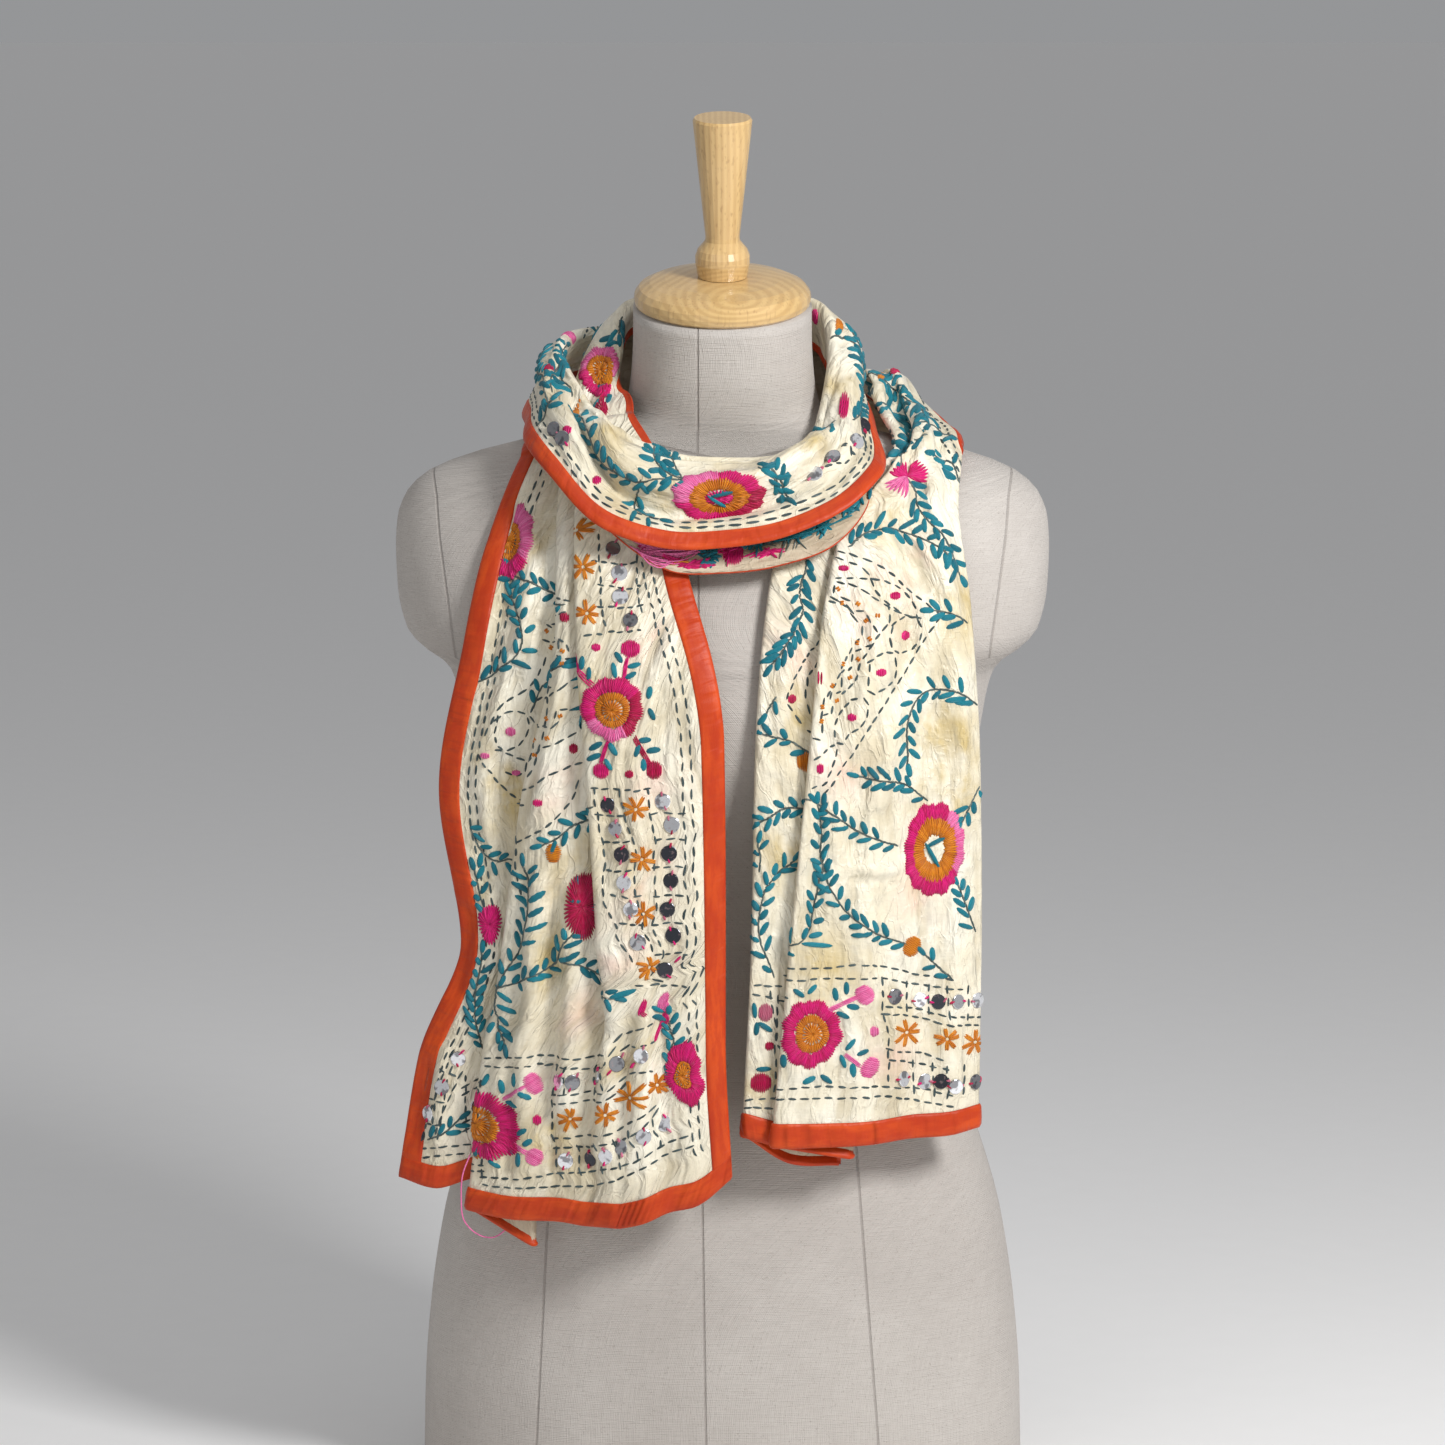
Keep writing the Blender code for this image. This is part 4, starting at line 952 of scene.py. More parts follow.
def add_cloth(stretch):
    """The stretch as a closed thin wall, silk on its right side and backing on the other."""
    rows, columns = stretch.grid.shape[:2]
    half = CLOTH_WALL / 2
    faces_up = stretch.grid + stretch.normals * half
    faces_down = stretch.grid - stretch.normals * half
    points = np.concatenate([faces_up.reshape(-1, 3), faces_down.reshape(-1, 3)])
    numbers = np.arange(rows * columns).reshape(rows, columns)
    upper = grid_faces(rows, columns, turned=stretch.side < 0)
    lower = upper[:, ::-1] + rows * columns
    rim = np.concatenate([numbers[0, :-1], numbers[:-1, -1], numbers[-1, :0:-1], numbers[:0:-1, 0]])
    after = np.roll(rim, -1)
    closing = np.stack([after, rim, rim + rows * columns, after + rows * columns], axis=1)
    closing = closing[:, ::-1] if stretch.side < 0 else closing
    spread = np.column_stack([stretch.across.ravel(), np.repeat(stretch.down, columns)])
    faces = np.concatenate([upper, lower, closing])
    kinds = np.concatenate([np.zeros(len(upper)), np.ones(len(lower)), np.zeros(len(closing))])
    stains = {name: stain(stretch, table.get(stretch, table[winding]), STAIN_REACH[name])
              for name, table in (("yellowed", YELLOWED), ("rosy", ROSY))}
    cloth = add_piece(f"{stretch.name}_cloth", points, faces, [right_side_silk, backing], kinds,
                      np.concatenate([spread, spread]), stains)
    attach(cloth, "root")
    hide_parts(stretch.name)


add_cloth(left_tail)
add_cloth(inner_wrap)
add_cloth(front_loop)
add_cloth(back_wrap)
add_cloth(right_tail)

# All four edges of the stole are bound in burnt-orange satin, cut on the bias, folded over the
# raw edge and stitched down: a broad strip on the right side, a narrow line on the other.
BINDING_PROFILE = ((0.0018, -0.0004), (0.0014, -0.0009), (0.0004, -0.0012), (-0.0008, -0.0008),
                   (-0.0012, 0.0), (-0.0006, 0.0010), (0.0014, 0.0017), (0.0050, 0.0018),
                   (0.0090, 0.0016), (0.0122, 0.0014), (0.0136, 0.0010), (0.0140, 0.0003))
PUCKER_DEPTH = 0.00045
PUCKER_SPACING = 0.011
PUCKERED = (0.001, 0.013)
SPARE_PUCKERS = 4
BEYOND_END = 0.03
FOLD_WIDTH = 0.002
HEM_STEPS = 90
HEM_THICKER = 0.0005
# The strip narrows where the stole is gathered round the neck: its share of the full width
GATHERED_WIDTH = {"outer": 0.74, "inner": 0.34}
WIDENS_FROM = 0.028
WIDENS_OVER = 0.05

satin, shader, shades = new_material("burnt orange satin", Roughness=0.46, Specular_IOR_Level=0.3,
                                     Sheen_Weight=0.10, Sheen_Roughness=0.3, Anisotropic=0.3)
spread = shades.spread()
uneven = shades.noise(shades.stretch(spread, (60, 14, 1)), 1.0, 2.0)
tint = shades.mix(shades.ramp(uneven, 0.3, 0.7), (0.46, 0.038, 0.004, 1), (0.63, 0.074, 0.007, 1))
# Painted shade: long slanting streaks of darker red stand in for the satin's changing sheen.
satin_sheen_streaks = shades.noise(shades.stretch(spread, (220, 60, 1), 24), 1.0, 3.0, 0.6)
painted_sheen_shade = shades.ramp(satin_sheen_streaks, 0.40, 0.62, 0.0, 0.5)
tint = shades.mix(painted_sheen_shade, tint, (0.42, 0.026, 0.004, 1))
shades.join(tint, shader.inputs["Base Color"])
puckers = shades.noise(shades.stretch(spread, (35, 120, 1), 24), 1.0, 2.0, 0.5, 0.4)
weave = use_effect(shades, "Woven threads", Where=spread, Pitch=0.0006, Unevenness=0.5)["Height"]
shades.join(shades.relief(weave, 0.00006, 0.5, shades.relief(puckers, 0.0016, 0.9)), shader.inputs["Normal"])


def binding_strip(stretch, edge, chance):
    """Rows of the strip's profile along one long edge of a stretch."""
    rows = []
    down = stretch.down
    spots = np.arange(0, down[-1] + BEYOND_END, PUCKER_SPACING)
    swells = chance.uniform(-1, 1, int(down[-1] / PUCKER_SPACING) + SPARE_PUCKERS)
    swell = PUCKER_DEPTH * 0.5 * np.interp(down, spots, swells[:len(spots)])
    edge_point, edge_facing = stretch.at(down, 0.0, edge)
    beside, _ = stretch.at(down, MM, edge)
    outward = unit(edge_point - beside)
    share = np.full(len(down), GATHERED_WIDTH[edge])
    if stretch in (left_tail, right_tail):
        share += (1 - share) * ease((down - WIDENS_FROM) / WIDENS_OVER)
    for inward, lift in BINDING_PROFILE:
        rise = lift + (swell if PUCKERED[0] < inward < PUCKERED[1] and lift > 0 else 0)
        slim = share if edge == "inner" or inward > FOLD_WIDTH else np.ones(len(down))
        if inward > 0:
            points, _ = stretch.at(down, inward * slim, edge, rise * slim if edge == "inner" else rise)
        else:
            points = edge_point - outward * inward * slim[:, None] + edge_facing * lift
        rows.append(points)
    return np.stack(rows, axis=1), down


def end_strip(stretch, chance):
    """Rows of the strip's profile along the hem of a tail."""
    hem_line = stretch.across[-1]
    across = np.unique(np.concatenate([hem_line, np.linspace(0, hem_line[-1], HEM_STEPS)]))
    swell = chance.uniform(-1, 1, len(across)) * PUCKER_DEPTH * 0.5
    hem = stretch.down[-1]
    end_point, end_facing = stretch.at(hem, across)
    above, _ = stretch.at(hem - MM, across)
    outward = unit(end_point - above)
    rows = []
    for inward, lift in BINDING_PROFILE:
        rise = lift + HEM_THICKER * np.sign(lift)
        if inward > 0:
            points, _ = stretch.at(hem - inward, across, lift=rise + (swell if lift > PUCKERED[0] else 0))
        else:
            points = end_point - outward * inward + end_facing * rise
        rows.append(points)
    return np.stack(rows, axis=1), across


def add_bindings(stretch, replaced, with_end, seed):
    chance = np.random.default_rng(seed)
    points, faces, spread, count = [], [], [], 0
    size = len(BINDING_PROFILE)
    girth = np.cumsum([0] + [math.dist(a, b) for a, b in zip(BINDING_PROFILE, BINDING_PROFILE[1:])])
    closing = np.array([[a, a + 1, size - 2 - a, size - 1 - a] for a in range(size // 2 - 1)])
    strips = [binding_strip(stretch, edge, chance) for edge in ("outer", "inner")]
    if with_end:
        strips.append(end_strip(stretch, chance))
    for k, (rows, lengths) in enumerate(strips):
        turned = (k == 0) == (stretch.side > 0) if k < 2 else stretch.side < 0
        faces.append(grid_faces(len(rows), size, closed=True, turned=turned) + count)
        last = count + (len(rows) - 1) * size
        faces += [count + closing, last + closing[:, [0, 3, 2, 1]]]
        points.append(rows.reshape(-1, 3))
        spread.append(np.column_stack([np.tile(girth, len(rows)), np.repeat(lengths, size)]))
        count += len(rows) * size
    binding = add_piece(f"{stretch.name}_binding", np.concatenate(points), np.concatenate(faces), [satin],
                        spread=np.concatenate(spread))
    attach(binding, "root")
    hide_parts(*replaced)


for seed, (stretch, with_end) in enumerate(((left_tail, True), (inner_wrap, False), (front_loop, False),
                                            (back_wrap, False), (right_tail, True))):
    edges = ("outer", "inner", "end") if with_end else ("outer", "inner")
    add_bindings(stretch, [f"{stretch.name}_{edge}_binding" for edge in edges], with_end, seed)

# The needlework is all by hand in stranded cotton, taken through silk and backing: sprays of
# leaves on double thread stems, sewn flowers and buds, stars, and rows of running stitch that
# quilt the layers together. Places are millimetres down a stretch and in from its outer edge.
THREADS = {
    "teal": ((0.003, 0.140, 0.190), (0.008, 0.240, 0.310)),
    "magenta": ((0.560, 0.004, 0.110), (0.760, 0.008, 0.200)),
    "crimson": ((0.370, 0.002, 0.040), (0.560, 0.004, 0.085)),
    "pink": ((0.780, 0.115, 0.340), (0.900, 0.230, 0.480)),
    "rose": ((0.500, 0.090, 0.170), (0.620, 0.180, 0.270)),
    "mustard": ((0.560, 0.150, 0.004), (0.760, 0.260, 0.012)),
    "slate": ((0.032, 0.056, 0.060), (0.090, 0.130, 0.132)),
    "stem": ((0.060, 0.090, 0.085), (0.150, 0.185, 0.170)),
}
THREAD_ORDER = list(THREADS)
# Shape of one stitch: share of its length, share of its width and share of its height; then
# its section: across and up
STITCH_LENGTHS = ((0.0, 0.22, 0.0), (0.10, 0.70, 0.65), (0.32, 1.0, 1.0), (0.68, 1.0, 1.0),
                  (0.90, 0.70, 0.65), (1.0, 0.22, 0.0))
STITCH_SECTION = ((-1.0, 0.0), (-0.62, 0.82), (0.0, 1.0), (0.62, 0.82), (1.0, 0.0))
SUNK = 0.00025
# How far a binding covers the silk, and the shortest rest of a stitch that still shows
COVERED = 0.0134
SHORTEST = 0.0008
# Motifs are drawn as seen from the front, but never stretched or thickened by more than this
SEEN_STEP = 0.005
MOST_STRETCH = 1.9
MOST_THICKENED = 1.6
PATH_FINENESS = 12
OVERLAP = 1.32

shades, given, result = effect_group("Stranded thread", [("Spread", "Vector"), ("Strand", "Float", 0.0006)],
                                     [("Height", "Float"), ("Groove", "Float")])
parts = shades.apart(given["Spread"])
slanted = shades.plus(parts[1], shades.times(parts[0], 0.10))
turns = shades.times(shades.math("DIVIDE", slanted, given["Strand"]), math.pi)
height = shades.math("ABSOLUTE", shades.math("SINE", turns))
shades.join(height, result["Height"])
shades.join(shades.ramp(height, 0.0, 0.45, 1.0, 0.0), result["Groove"])


def thread_material(name, dark, light):
    material, shader, shades = new_material(f"{name} thread", Roughness=0.48, Specular_IOR_Level=0.35,
                                            Sheen_Weight=0.08, Sheen_Roughness=0.4)
    strands = use_effect(shades, "Stranded thread", Spread=shades.spread(), Strand=0.0006)
    tint = shades.mix(shades.mark("tone"), (*dark, 1), (*light, 1))
    shadow = tuple(0.45 * channel for channel in dark)
    tint = shades.mix(shades.times(strands["Groove"], 0.65), tint, (*shadow, 1))
    shades.join(tint, shader.inputs["Base Color"])
    shades.join(shades.relief(strands["Height"], 0.0003, 0.9), shader.inputs["Normal"])
    return material


thread_materials = [thread_material(name, *colours) for name, colours in THREADS.items()]


def smooth_path(points, step):
    """Places a step apart on a smooth curve through points, and the way it runs at each."""
    fine = curve_line([np.array(p, float) for p in points], PATH_FINENESS)[1]
    lengths = lengths_along(fine)
    wanted = np.linspace(0, lengths[-1], max(2, round(lengths[-1] / step) + 1))
    places = at_places(lengths, fine, wanted)
    return places, unit(np.gradient(places, axis=0), 1e-9)


def turned(way, degrees):
    turn = math.radians(degrees)
    return np.array([way[0] * math.cos(turn) - way[1] * math.sin(turn),
                     way[0] * math.sin(turn) + way[1] * math.cos(turn)])


def heading(degrees):
    """Way of a turn to the right from straight up, as steps right and up."""
    return np.array([math.sin(math.radians(degrees)), math.cos(math.radians(degrees))])


class Needlework:
    """Stitches on one stretch, on its right side or under it.

    Motifs are drawn in millimetres right and up, as they look from the front where the cloth
    can be seen from there, and true to the cloth elsewhere.
    """

    def __init__(self, stretch, seed, seen=True, under=False, covered=COVERED):
        self.stretch = stretch
        self.covered = covered
        self.seen, self.under = seen, under
        self.chance = np.random.default_rng(seed)
        self.stitches = []

    def lie(self, centre):
        """Turns millimetres right and up into steps down and across the cloth at a place."""
        down, across = np.asarray(centre, float) * MM
        spots = self.stretch.at([down + SEEN_STEP, down - SEEN_STEP, down, down],
                                [across, across, across + SEEN_STEP, max(across - SEEN_STEP, 0)])[0]
        first = min(down + SEEN_STEP, self.stretch.down[-1]) - max(down - SEEN_STEP, 0)
        second = SEEN_STEP + min(SEEN_STEP, across)
        runs = np.column_stack([(spots[0] - spots[1]) / first, (spots[2] - spots[3]) / second])
        if not self.seen:
            return np.linalg.inv(np.linalg.qr(runs)[1])
        left, sizes, right = np.linalg.svd(runs[[0, 2]])
        return np.linalg.inv(left @ np.diag(np.maximum(sizes, 1 / MOST_STRETCH)) @ right)

    def stitch(self, thread, start, end, width, height, base=0.0):
        self.stitches.append((THREAD_ORDER.index(thread), *start, *end, width / 2, height, base))

    def running(self, points, dash=6.2, gap=2.5, width=1.6, thread="slate"):
        places, ways = smooth_path(points, (dash + gap) / 2)
        for place, way in zip(places[::2], ways[::2]):
            way = turned(way, self.chance.normal(0, 4))
            place = place + self.chance.normal(0, 0.22, 2)
            half = way * dash * self.chance.uniform(0.42, 0.56)
            thick = width * self.chance.uniform(0.8, 1.15)
            self.stitch(thread, place - half, place + half, thick, height=0.5)

    def stem(self, points, width=1.3, thread="stem"):
        places, ways = smooth_path(points, 3.6)
        for place, way in zip(places, ways):
            half = turned(way, self.chance.normal(6, 4)) * 2.6
            thick = width * self.chance.uniform(0.85, 1.15)
            self.stitch(thread, place - half, place + half, thick, height=0.5)

    def strands(self, points, thread):
        """Two or three long threads side by side, as the stalk of a bud."""
        places, ways = smooth_path(points, 9.0)
        for off in (-0.9, 0.0, 0.9):
            for place, after, way in zip(places, places[1:], ways):
                side = turned(way, 90) * off
                self.stitch(thread, place + side - way, after + side + way, width=1.1, height=0.8)

    def leaf(self, foot, tip, width=3.7):
        self.stitch("teal", foot, tip, width * self.chance.uniform(0.85, 1.12), height=1.15, base=0.05)

    def spray(self, points, length=9.2, spacing=8.6):
        """Leaves by twos up a stem, each pair a little apart, and one at its tip."""
        self.stem(points)
        places, ways = smooth_path(points, spacing)
        for k, (place, way) in enumerate(zip(places, ways)):
            lie = self.lie(place)
            onward = np.linalg.solve(lie, way)
            onward /= np.linalg.norm(onward)
            for side, shift in ((1, 0.0), (-1, spacing * 0.42)):
                if k == len(places) - 1 or (k == 0 and side < 0):
                    continue
                direction = turned(onward, side * self.chance.uniform(28, 50))
                foot = place + lie @ (onward * shift + direction * 1.0)
                self.leaf(foot, foot + lie @ direction * length * self.chance.uniform(0.78, 1.12))
        direction = lie @ turned(onward, self.chance.normal(0, 8))
        self.leaf(places[-1] + direction * 0.5, places[-1] + direction * length)

    def satin(self, thread, centre, length, width, turn, pitch=1.05):
        """An oval filled with threads that lie side by side, turned from straight up."""
        centre = np.array(centre, float)
        lie = self.lie(centre)
        along, side = lie @ heading(turn), lie @ heading(turn + 90)
        count = max(2, round(width / pitch))
        for k in range(count):
            off = (k + 0.5) / count * 2 - 1
            reach = length / 2 * math.sqrt(max(0.05, 1 - (0.92 * off) ** 2)) * self.chance.uniform(0.94, 1.05)
            middle = centre + side * off * width / 2
            self.stitch(thread, middle - along * reach, middle + along * reach, width / count * 1.3,
                        height=1.1 - 0.4 * off * off)

    def ring(self, centre, radii, inner, outer, sectors, pitch=1.15, height=1.0, scallop=0.0):
        """Threads laid outward round a flower. Sectors: from, to (degrees clockwise), thread."""
        centre, radii = np.array(centre, float), np.array(radii, float)
        lie = self.lie(centre)
        girth = math.pi * (inner + outer) * math.sqrt((radii @ radii) / 2)
        count = round(girth / pitch)
        for k in range(count):
            degrees = (k + 0.5) * 360 / count
            thread = next((name for low, high, name in sectors if low <= degrees < high), None)
            if thread is None:
                continue
            way = lie @ (heading(degrees) * radii)
            near = inner * self.chance.uniform(0.90, 1.08)
            dip = scallop * abs(math.cos(math.pi * k / 9)) ** 4
            far = outer * (1 - dip + self.chance.uniform(-0.022, 0.022))
            thick = girth / count * OVERLAP * (0.7 + 0.5 * outer)
            self.stitch(thread, centre + way * near, centre + way * far, thick,
                        height * self.chance.uniform(0.8, 1.15))

    def star(self, centre, reach, petals=7):
        centre = np.array(centre, float)
        lie = self.lie(centre)
        lean = self.chance.uniform(0, 360 / petals)
        for k in range(petals):
            turn = lean + k * 360 / petals + self.chance.normal(0, 5)
            way, side = lie @ heading(turn), lie @ heading(turn + 90)
            far = reach * self.chance.uniform(0.85, 1.1)
            for off in (-0.65, 0.65):
                self.stitch("mustard", centre + way * 0.8 + side * off * 0.4, centre + way * far + side * off,
                            width=1.7, height=0.9)

    def knot(self, thread, centre, size):
        centre = np.array(centre, float)
        lie = self.lie(centre)
        turn = self.chance.uniform(0, 180)
        for off in (-0.5, 0.5):
            side = lie @ heading(turn + 90) * off * size * 0.55
            way = lie @ heading(turn) * size / 2
            self.stitch(thread, centre + side - way, centre + side + way, size * 0.6, height=0.8)

    def tangle(self, thread, count, middle, reach, lengths, turn, scatter, width):
        """Loose threads that cross one another within an oval patch."""
        for k in range(count):
            centre = np.array(middle, float) + self.chance.normal(0, 0.42, 2) * reach
            way = self.lie(centre) @ heading(turn + self.chance.normal(0, scatter))
            way = way * self.chance.uniform(*lengths) / 2
            self.stitch(thread, centre - way, centre + way, width * self.chance.uniform(0.8, 1.2),
                        height=0.7, base=self.chance.uniform(0, 1.4))

    def clear_of_bindings(self, start, end, hem):
        """Ends of the stitches cut back to where the binding covers them; some are all gone."""
        low, high = np.zeros(len(start)), np.ones(len(start))
        shown = np.ones(len(start), bool)
        width = np.interp(start[:, 0], self.stretch.down, self.stretch.across[:, -1])
        covered = self.covered
        for limit_start, limit_end in ((start[:, 1] - covered, end[:, 1] - covered),
                                       (width - covered - start[:, 1], width - covered - end[:, 1]),
                                       (hem - start[:, 0], hem - end[:, 0])):
            crossing = limit_start / np.where(limit_start == limit_end, 1, limit_start - limit_end)
            low = np.where((limit_start < 0) & (limit_end >= 0), np.maximum(low, crossing), low)
            high = np.where((limit_start >= 0) & (limit_end < 0), np.minimum(high, crossing), high)
            shown &= (limit_start >= 0) | (limit_end >= 0)
        shown &= (high - low) * np.linalg.norm(end - start, axis=1) > SHORTEST
        return start + (end - start) * low[:, None], start + (end - start) * high[:, None], shown

    def sew(self, name, hem=None):
        rows = np.array(self.stitches, float)
        start, end = rows[:, 1:3] * MM, rows[:, 3:5] * MM
        hem = self.stretch.down[-1] - COVERED if hem is None else hem
        start, end, shown = self.clear_of_bindings(start, end, hem)
        rows, start, end = rows[shown], start[shown], end[shown]
        count = len(rows)
        kind = rows[:, 0].astype(int)
        half, height, base = rows[:, 5:8].T * MM
        share, width, rise = np.array(STITCH_LENGTHS).T
        places = start[:, None] + (end - start)[:, None] * share[None, :, None]
        above = -1 if self.under else 1
        spots, facing = self.stretch.at(places[..., 0], np.maximum(places[..., 1], 0.0),
                                        lift=above * CLOTH_WALL / 2)
        facing = facing * above
        side = unit(np.cross(facing, np.gradient(spots, axis=1)), 1e-12)
        if self.seen:
            shown_width = np.linalg.norm(side[..., [0, 2]], axis=2).mean(axis=1)
            half = half * np.clip(1 / (shown_width + 1e-9), 1.0, MOST_THICKENED)
        points = []
        for across, up in STITCH_SECTION:
            lift = (height[:, None] * rise * up + base[:, None] * (up > 0)) - (SUNK if up == 0 else 0)
            beside = side * (half[:, None] * width * across)[..., None]
            points.append(spots + beside + facing * lift[..., None])
        points = np.stack(points, axis=2)
        lengths, sections = len(STITCH_LENGTHS), len(STITCH_SECTION)
        faces = grid_faces(lengths, sections)
        every = (faces[None] + (np.arange(count) * lengths * sections)[:, None, None]).reshape(-1, 4)
        reach = np.linalg.norm(spots[:, -1] - spots[:, 0], axis=1)
        u = np.broadcast_to((reach[:, None] * share)[:, :, None], points.shape[:3])
        v = half[:, None, None] * np.array([across for across, _ in STITCH_SECTION])[None, None, :]
        spread = np.stack([u, np.broadcast_to(v, points.shape[:3])], axis=-1).reshape(-1, 2)
        tone = np.repeat(self.chance.uniform(0, 1, count), lengths * sections)
        piece = add_piece(name, points.reshape(-1, 3), every, thread_materials,
                          np.repeat(kind, len(faces)), spread, {"tone": tone})
        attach(piece, "root")


# Two rows of running stitch follow both long edges of a tail just inside the binding, and the
# lower edge of the winding
EDGE_ROWS = (20.0, 25.5)
LOOP_ROWS = (13.0, 17.6)
EDGE_ROW_STEP = 12.0
HEM_CLEAR = 22


def edge_rows(work, first, last, both, rows=EDGE_ROWS):
    stretch = work.stretch
    for row in rows:
        for edge in (("outer", "inner") if both else ("outer",)):
            downs = np.arange(first, last, EDGE_ROW_STEP)
            width = np.interp(downs * MM, stretch.down, stretch.across[:, -1]) / MM
            across = row + 0 * downs if edge == "outer" else width - row
            work.running(list(zip(downs, across)))


# How a flower's petals share its ring, in degrees clockwise from the top
PETALS = {
    "band": ((0, 60, "magenta"), (60, 150, "crimson"), (150, 235, "pink"), (235, 360, "magenta")),
    "large": ((0, 30, "magenta"), (30, 125, "pink"), (125, 360, "magenta")),
    "loop": ((0, 75, "magenta"), (75, 170, "crimson"), (170, 255, "magenta"), (255, 360, "pink")),
    "inner": ((0, 90, "pink"), (90, 270, "magenta"), (270, 360, "pink")),
    "magenta": ((0, 360, "magenta"),),
    "crimson": ((0, 360, "crimson"),),
    "half": ((0, 130, "pink"), (130, 215, "magenta"), (215, 360, "pink")),
    "fans": ((22, 118, "magenta"), (185, 262, "pink"), (280, 352, "magenta")),
}
ALL_MUSTARD = ((0, 360, "mustard"),)


def flower(work, petals, middle, down, across, right, up):
    """Petals round a mustard middle, which is a share of the whole, or an open ring if below nought."""
    centre, radii = (down, across), (right, up)
    if middle < 0:
        work.ring(centre, radii, -middle * 0.95, 0.98, PETALS[petals], height=1.6, scallop=0.08)
        work.ring(centre, radii, 0.28, 0.12 - middle, ALL_MUSTARD, height=1.6)
        if petals == "loop":
            work.ring(centre, radii, 0.0, 0.32, PETALS["magenta"], height=1.2)
        for turn, off, reach in ((72, 0.16, 0.28), (142, -0.14, 0.34)):
            lie = work.lie(centre)
            way = lie @ (heading(turn) * radii) * reach
            place = np.array(centre) + lie @ (heading(20) * radii) * off
            work.stitch("teal", place - way, place + way, width=2.8, height=1.4, base=0.6)
        return
    work.ring(centre, radii, middle * 0.95, 0.98, PETALS[petals], height=1.6, scallop=0.08)
    if middle > 0.2:
        work.ring(centre, radii, 0.30, middle, ALL_MUSTARD, height=1.3)
        work.ring(centre, radii, 0.0, 0.34, ALL_MUSTARD, height=1.5)


def sew_motifs(work, lines, sprays, stems, leaves, buds, stars, dots, flowers):
    for points in lines:
        work.running(points, dash=5.6, gap=2.0)
    for points in sprays:
        work.spray(points)
    for thread, points in stems:
        work.strands(points, thread)
    for down, across, to_down, to_across in leaves:
        work.leaf((down, across), (to_down, to_across))
    for colour, down, across, length, width, turn in buds:
        work.satin(colour, (down, across), length, width, turn)
    for down, across, reach in stars:
        work.star((down, across), reach)
    for spot in dots:
        work.knot("mustard", spot, 2.6)
    for row in flowers:
        flower(work, *row)


# The left tail's needlework, in stranded cotton through silk and backing: a large banded flower,
# sprays that climb to the neck, rows of stars over the front folds and a flower at the hem.
# Buds are colour, place, length, width and turn; flowers are petals, middle, place and reach.
LEFT_BUDS = [
    ("magenta", 159, 209, 11, 11, 0), ("magenta", 149, 179, 5, 5, 0), ("magenta", 220, 211, 10, 9, 180),
    ("crimson", 227, 230, 5, 5, 0), ("crimson", 233, 247, 12, 9, 180), ("crimson", 125, 103, 6, 5, 0),
    ("pink", 194, 46, 6, 6, 0), ("pink", 206, 31, 4, 5, 0), ("pink", 220, 52, 4, 5, 0),
    ("magenta", 234, 125, 5, 5, 0), ("crimson", 205, 140, 7, 5, 0), ("mustard", 266, 134, 10, 11, 90),
    ("pink", 408, 183, 12, 13, 60), ("pink", 454, 200, 12, 10, 120), ("magenta", 431, 197, 7, 5, 0),
    ("pink", 371, 265, 13, 7, 0), ("magenta", 368, 249, 12, 4, 0),
]
LEFT_DOTS = [
    (129, 58), (139, 63), (144, 107), (151, 110), (183, 113), (182, 123), (195, 120), (196, 107),
    (205, 113),
]
LEFT_FLOWERS = [
    ("band", 0.55, 186, 208, 20, 20), ("half", 0.5, 64, 14, 19, 23), ("magenta", 0.5, 437, 154, 20, 22),
    ("crimson", 0.0, 300, 163, 12, 22), ("magenta", 0.0, 315, 23, 8, 13), ("magenta", 0.4, 416, 302, 12, 22),
]
LEFT_LEAFS = [
    (164, 206, 156, 197), (168, 212, 171, 223), (170, 205, 161, 198), (173, 212, 174, 221),
    (158, 176, 151, 172), (165, 184, 158, 181), (162, 121, 159, 176), (167, 125, 166, 182),
    (180, 128, 181, 187), (193, 188, 184, 186), (192, 235, 186, 235), (205, 244, 197, 237),
    (206, 200, 203, 208), (213, 220, 204, 213), (212, 200, 210, 209), (221, 218, 213, 212),
    (211, 234, 215, 244), (219, 233, 213, 235), (220, 241, 223, 251), (230, 240, 223, 240),
    (415, 163, 406, 156), (410, 170, 401, 164), (417, 188, 413, 176), (420, 168, 422, 180),
    (440, 187, 436, 193), (446, 191, 443, 198), (453, 183, 445, 179), (460, 192, 451, 188),
    (459, 157, 450, 156), (458, 168, 462, 178), (252, 19, 253, 29), (412, 145, 404, 145),
]
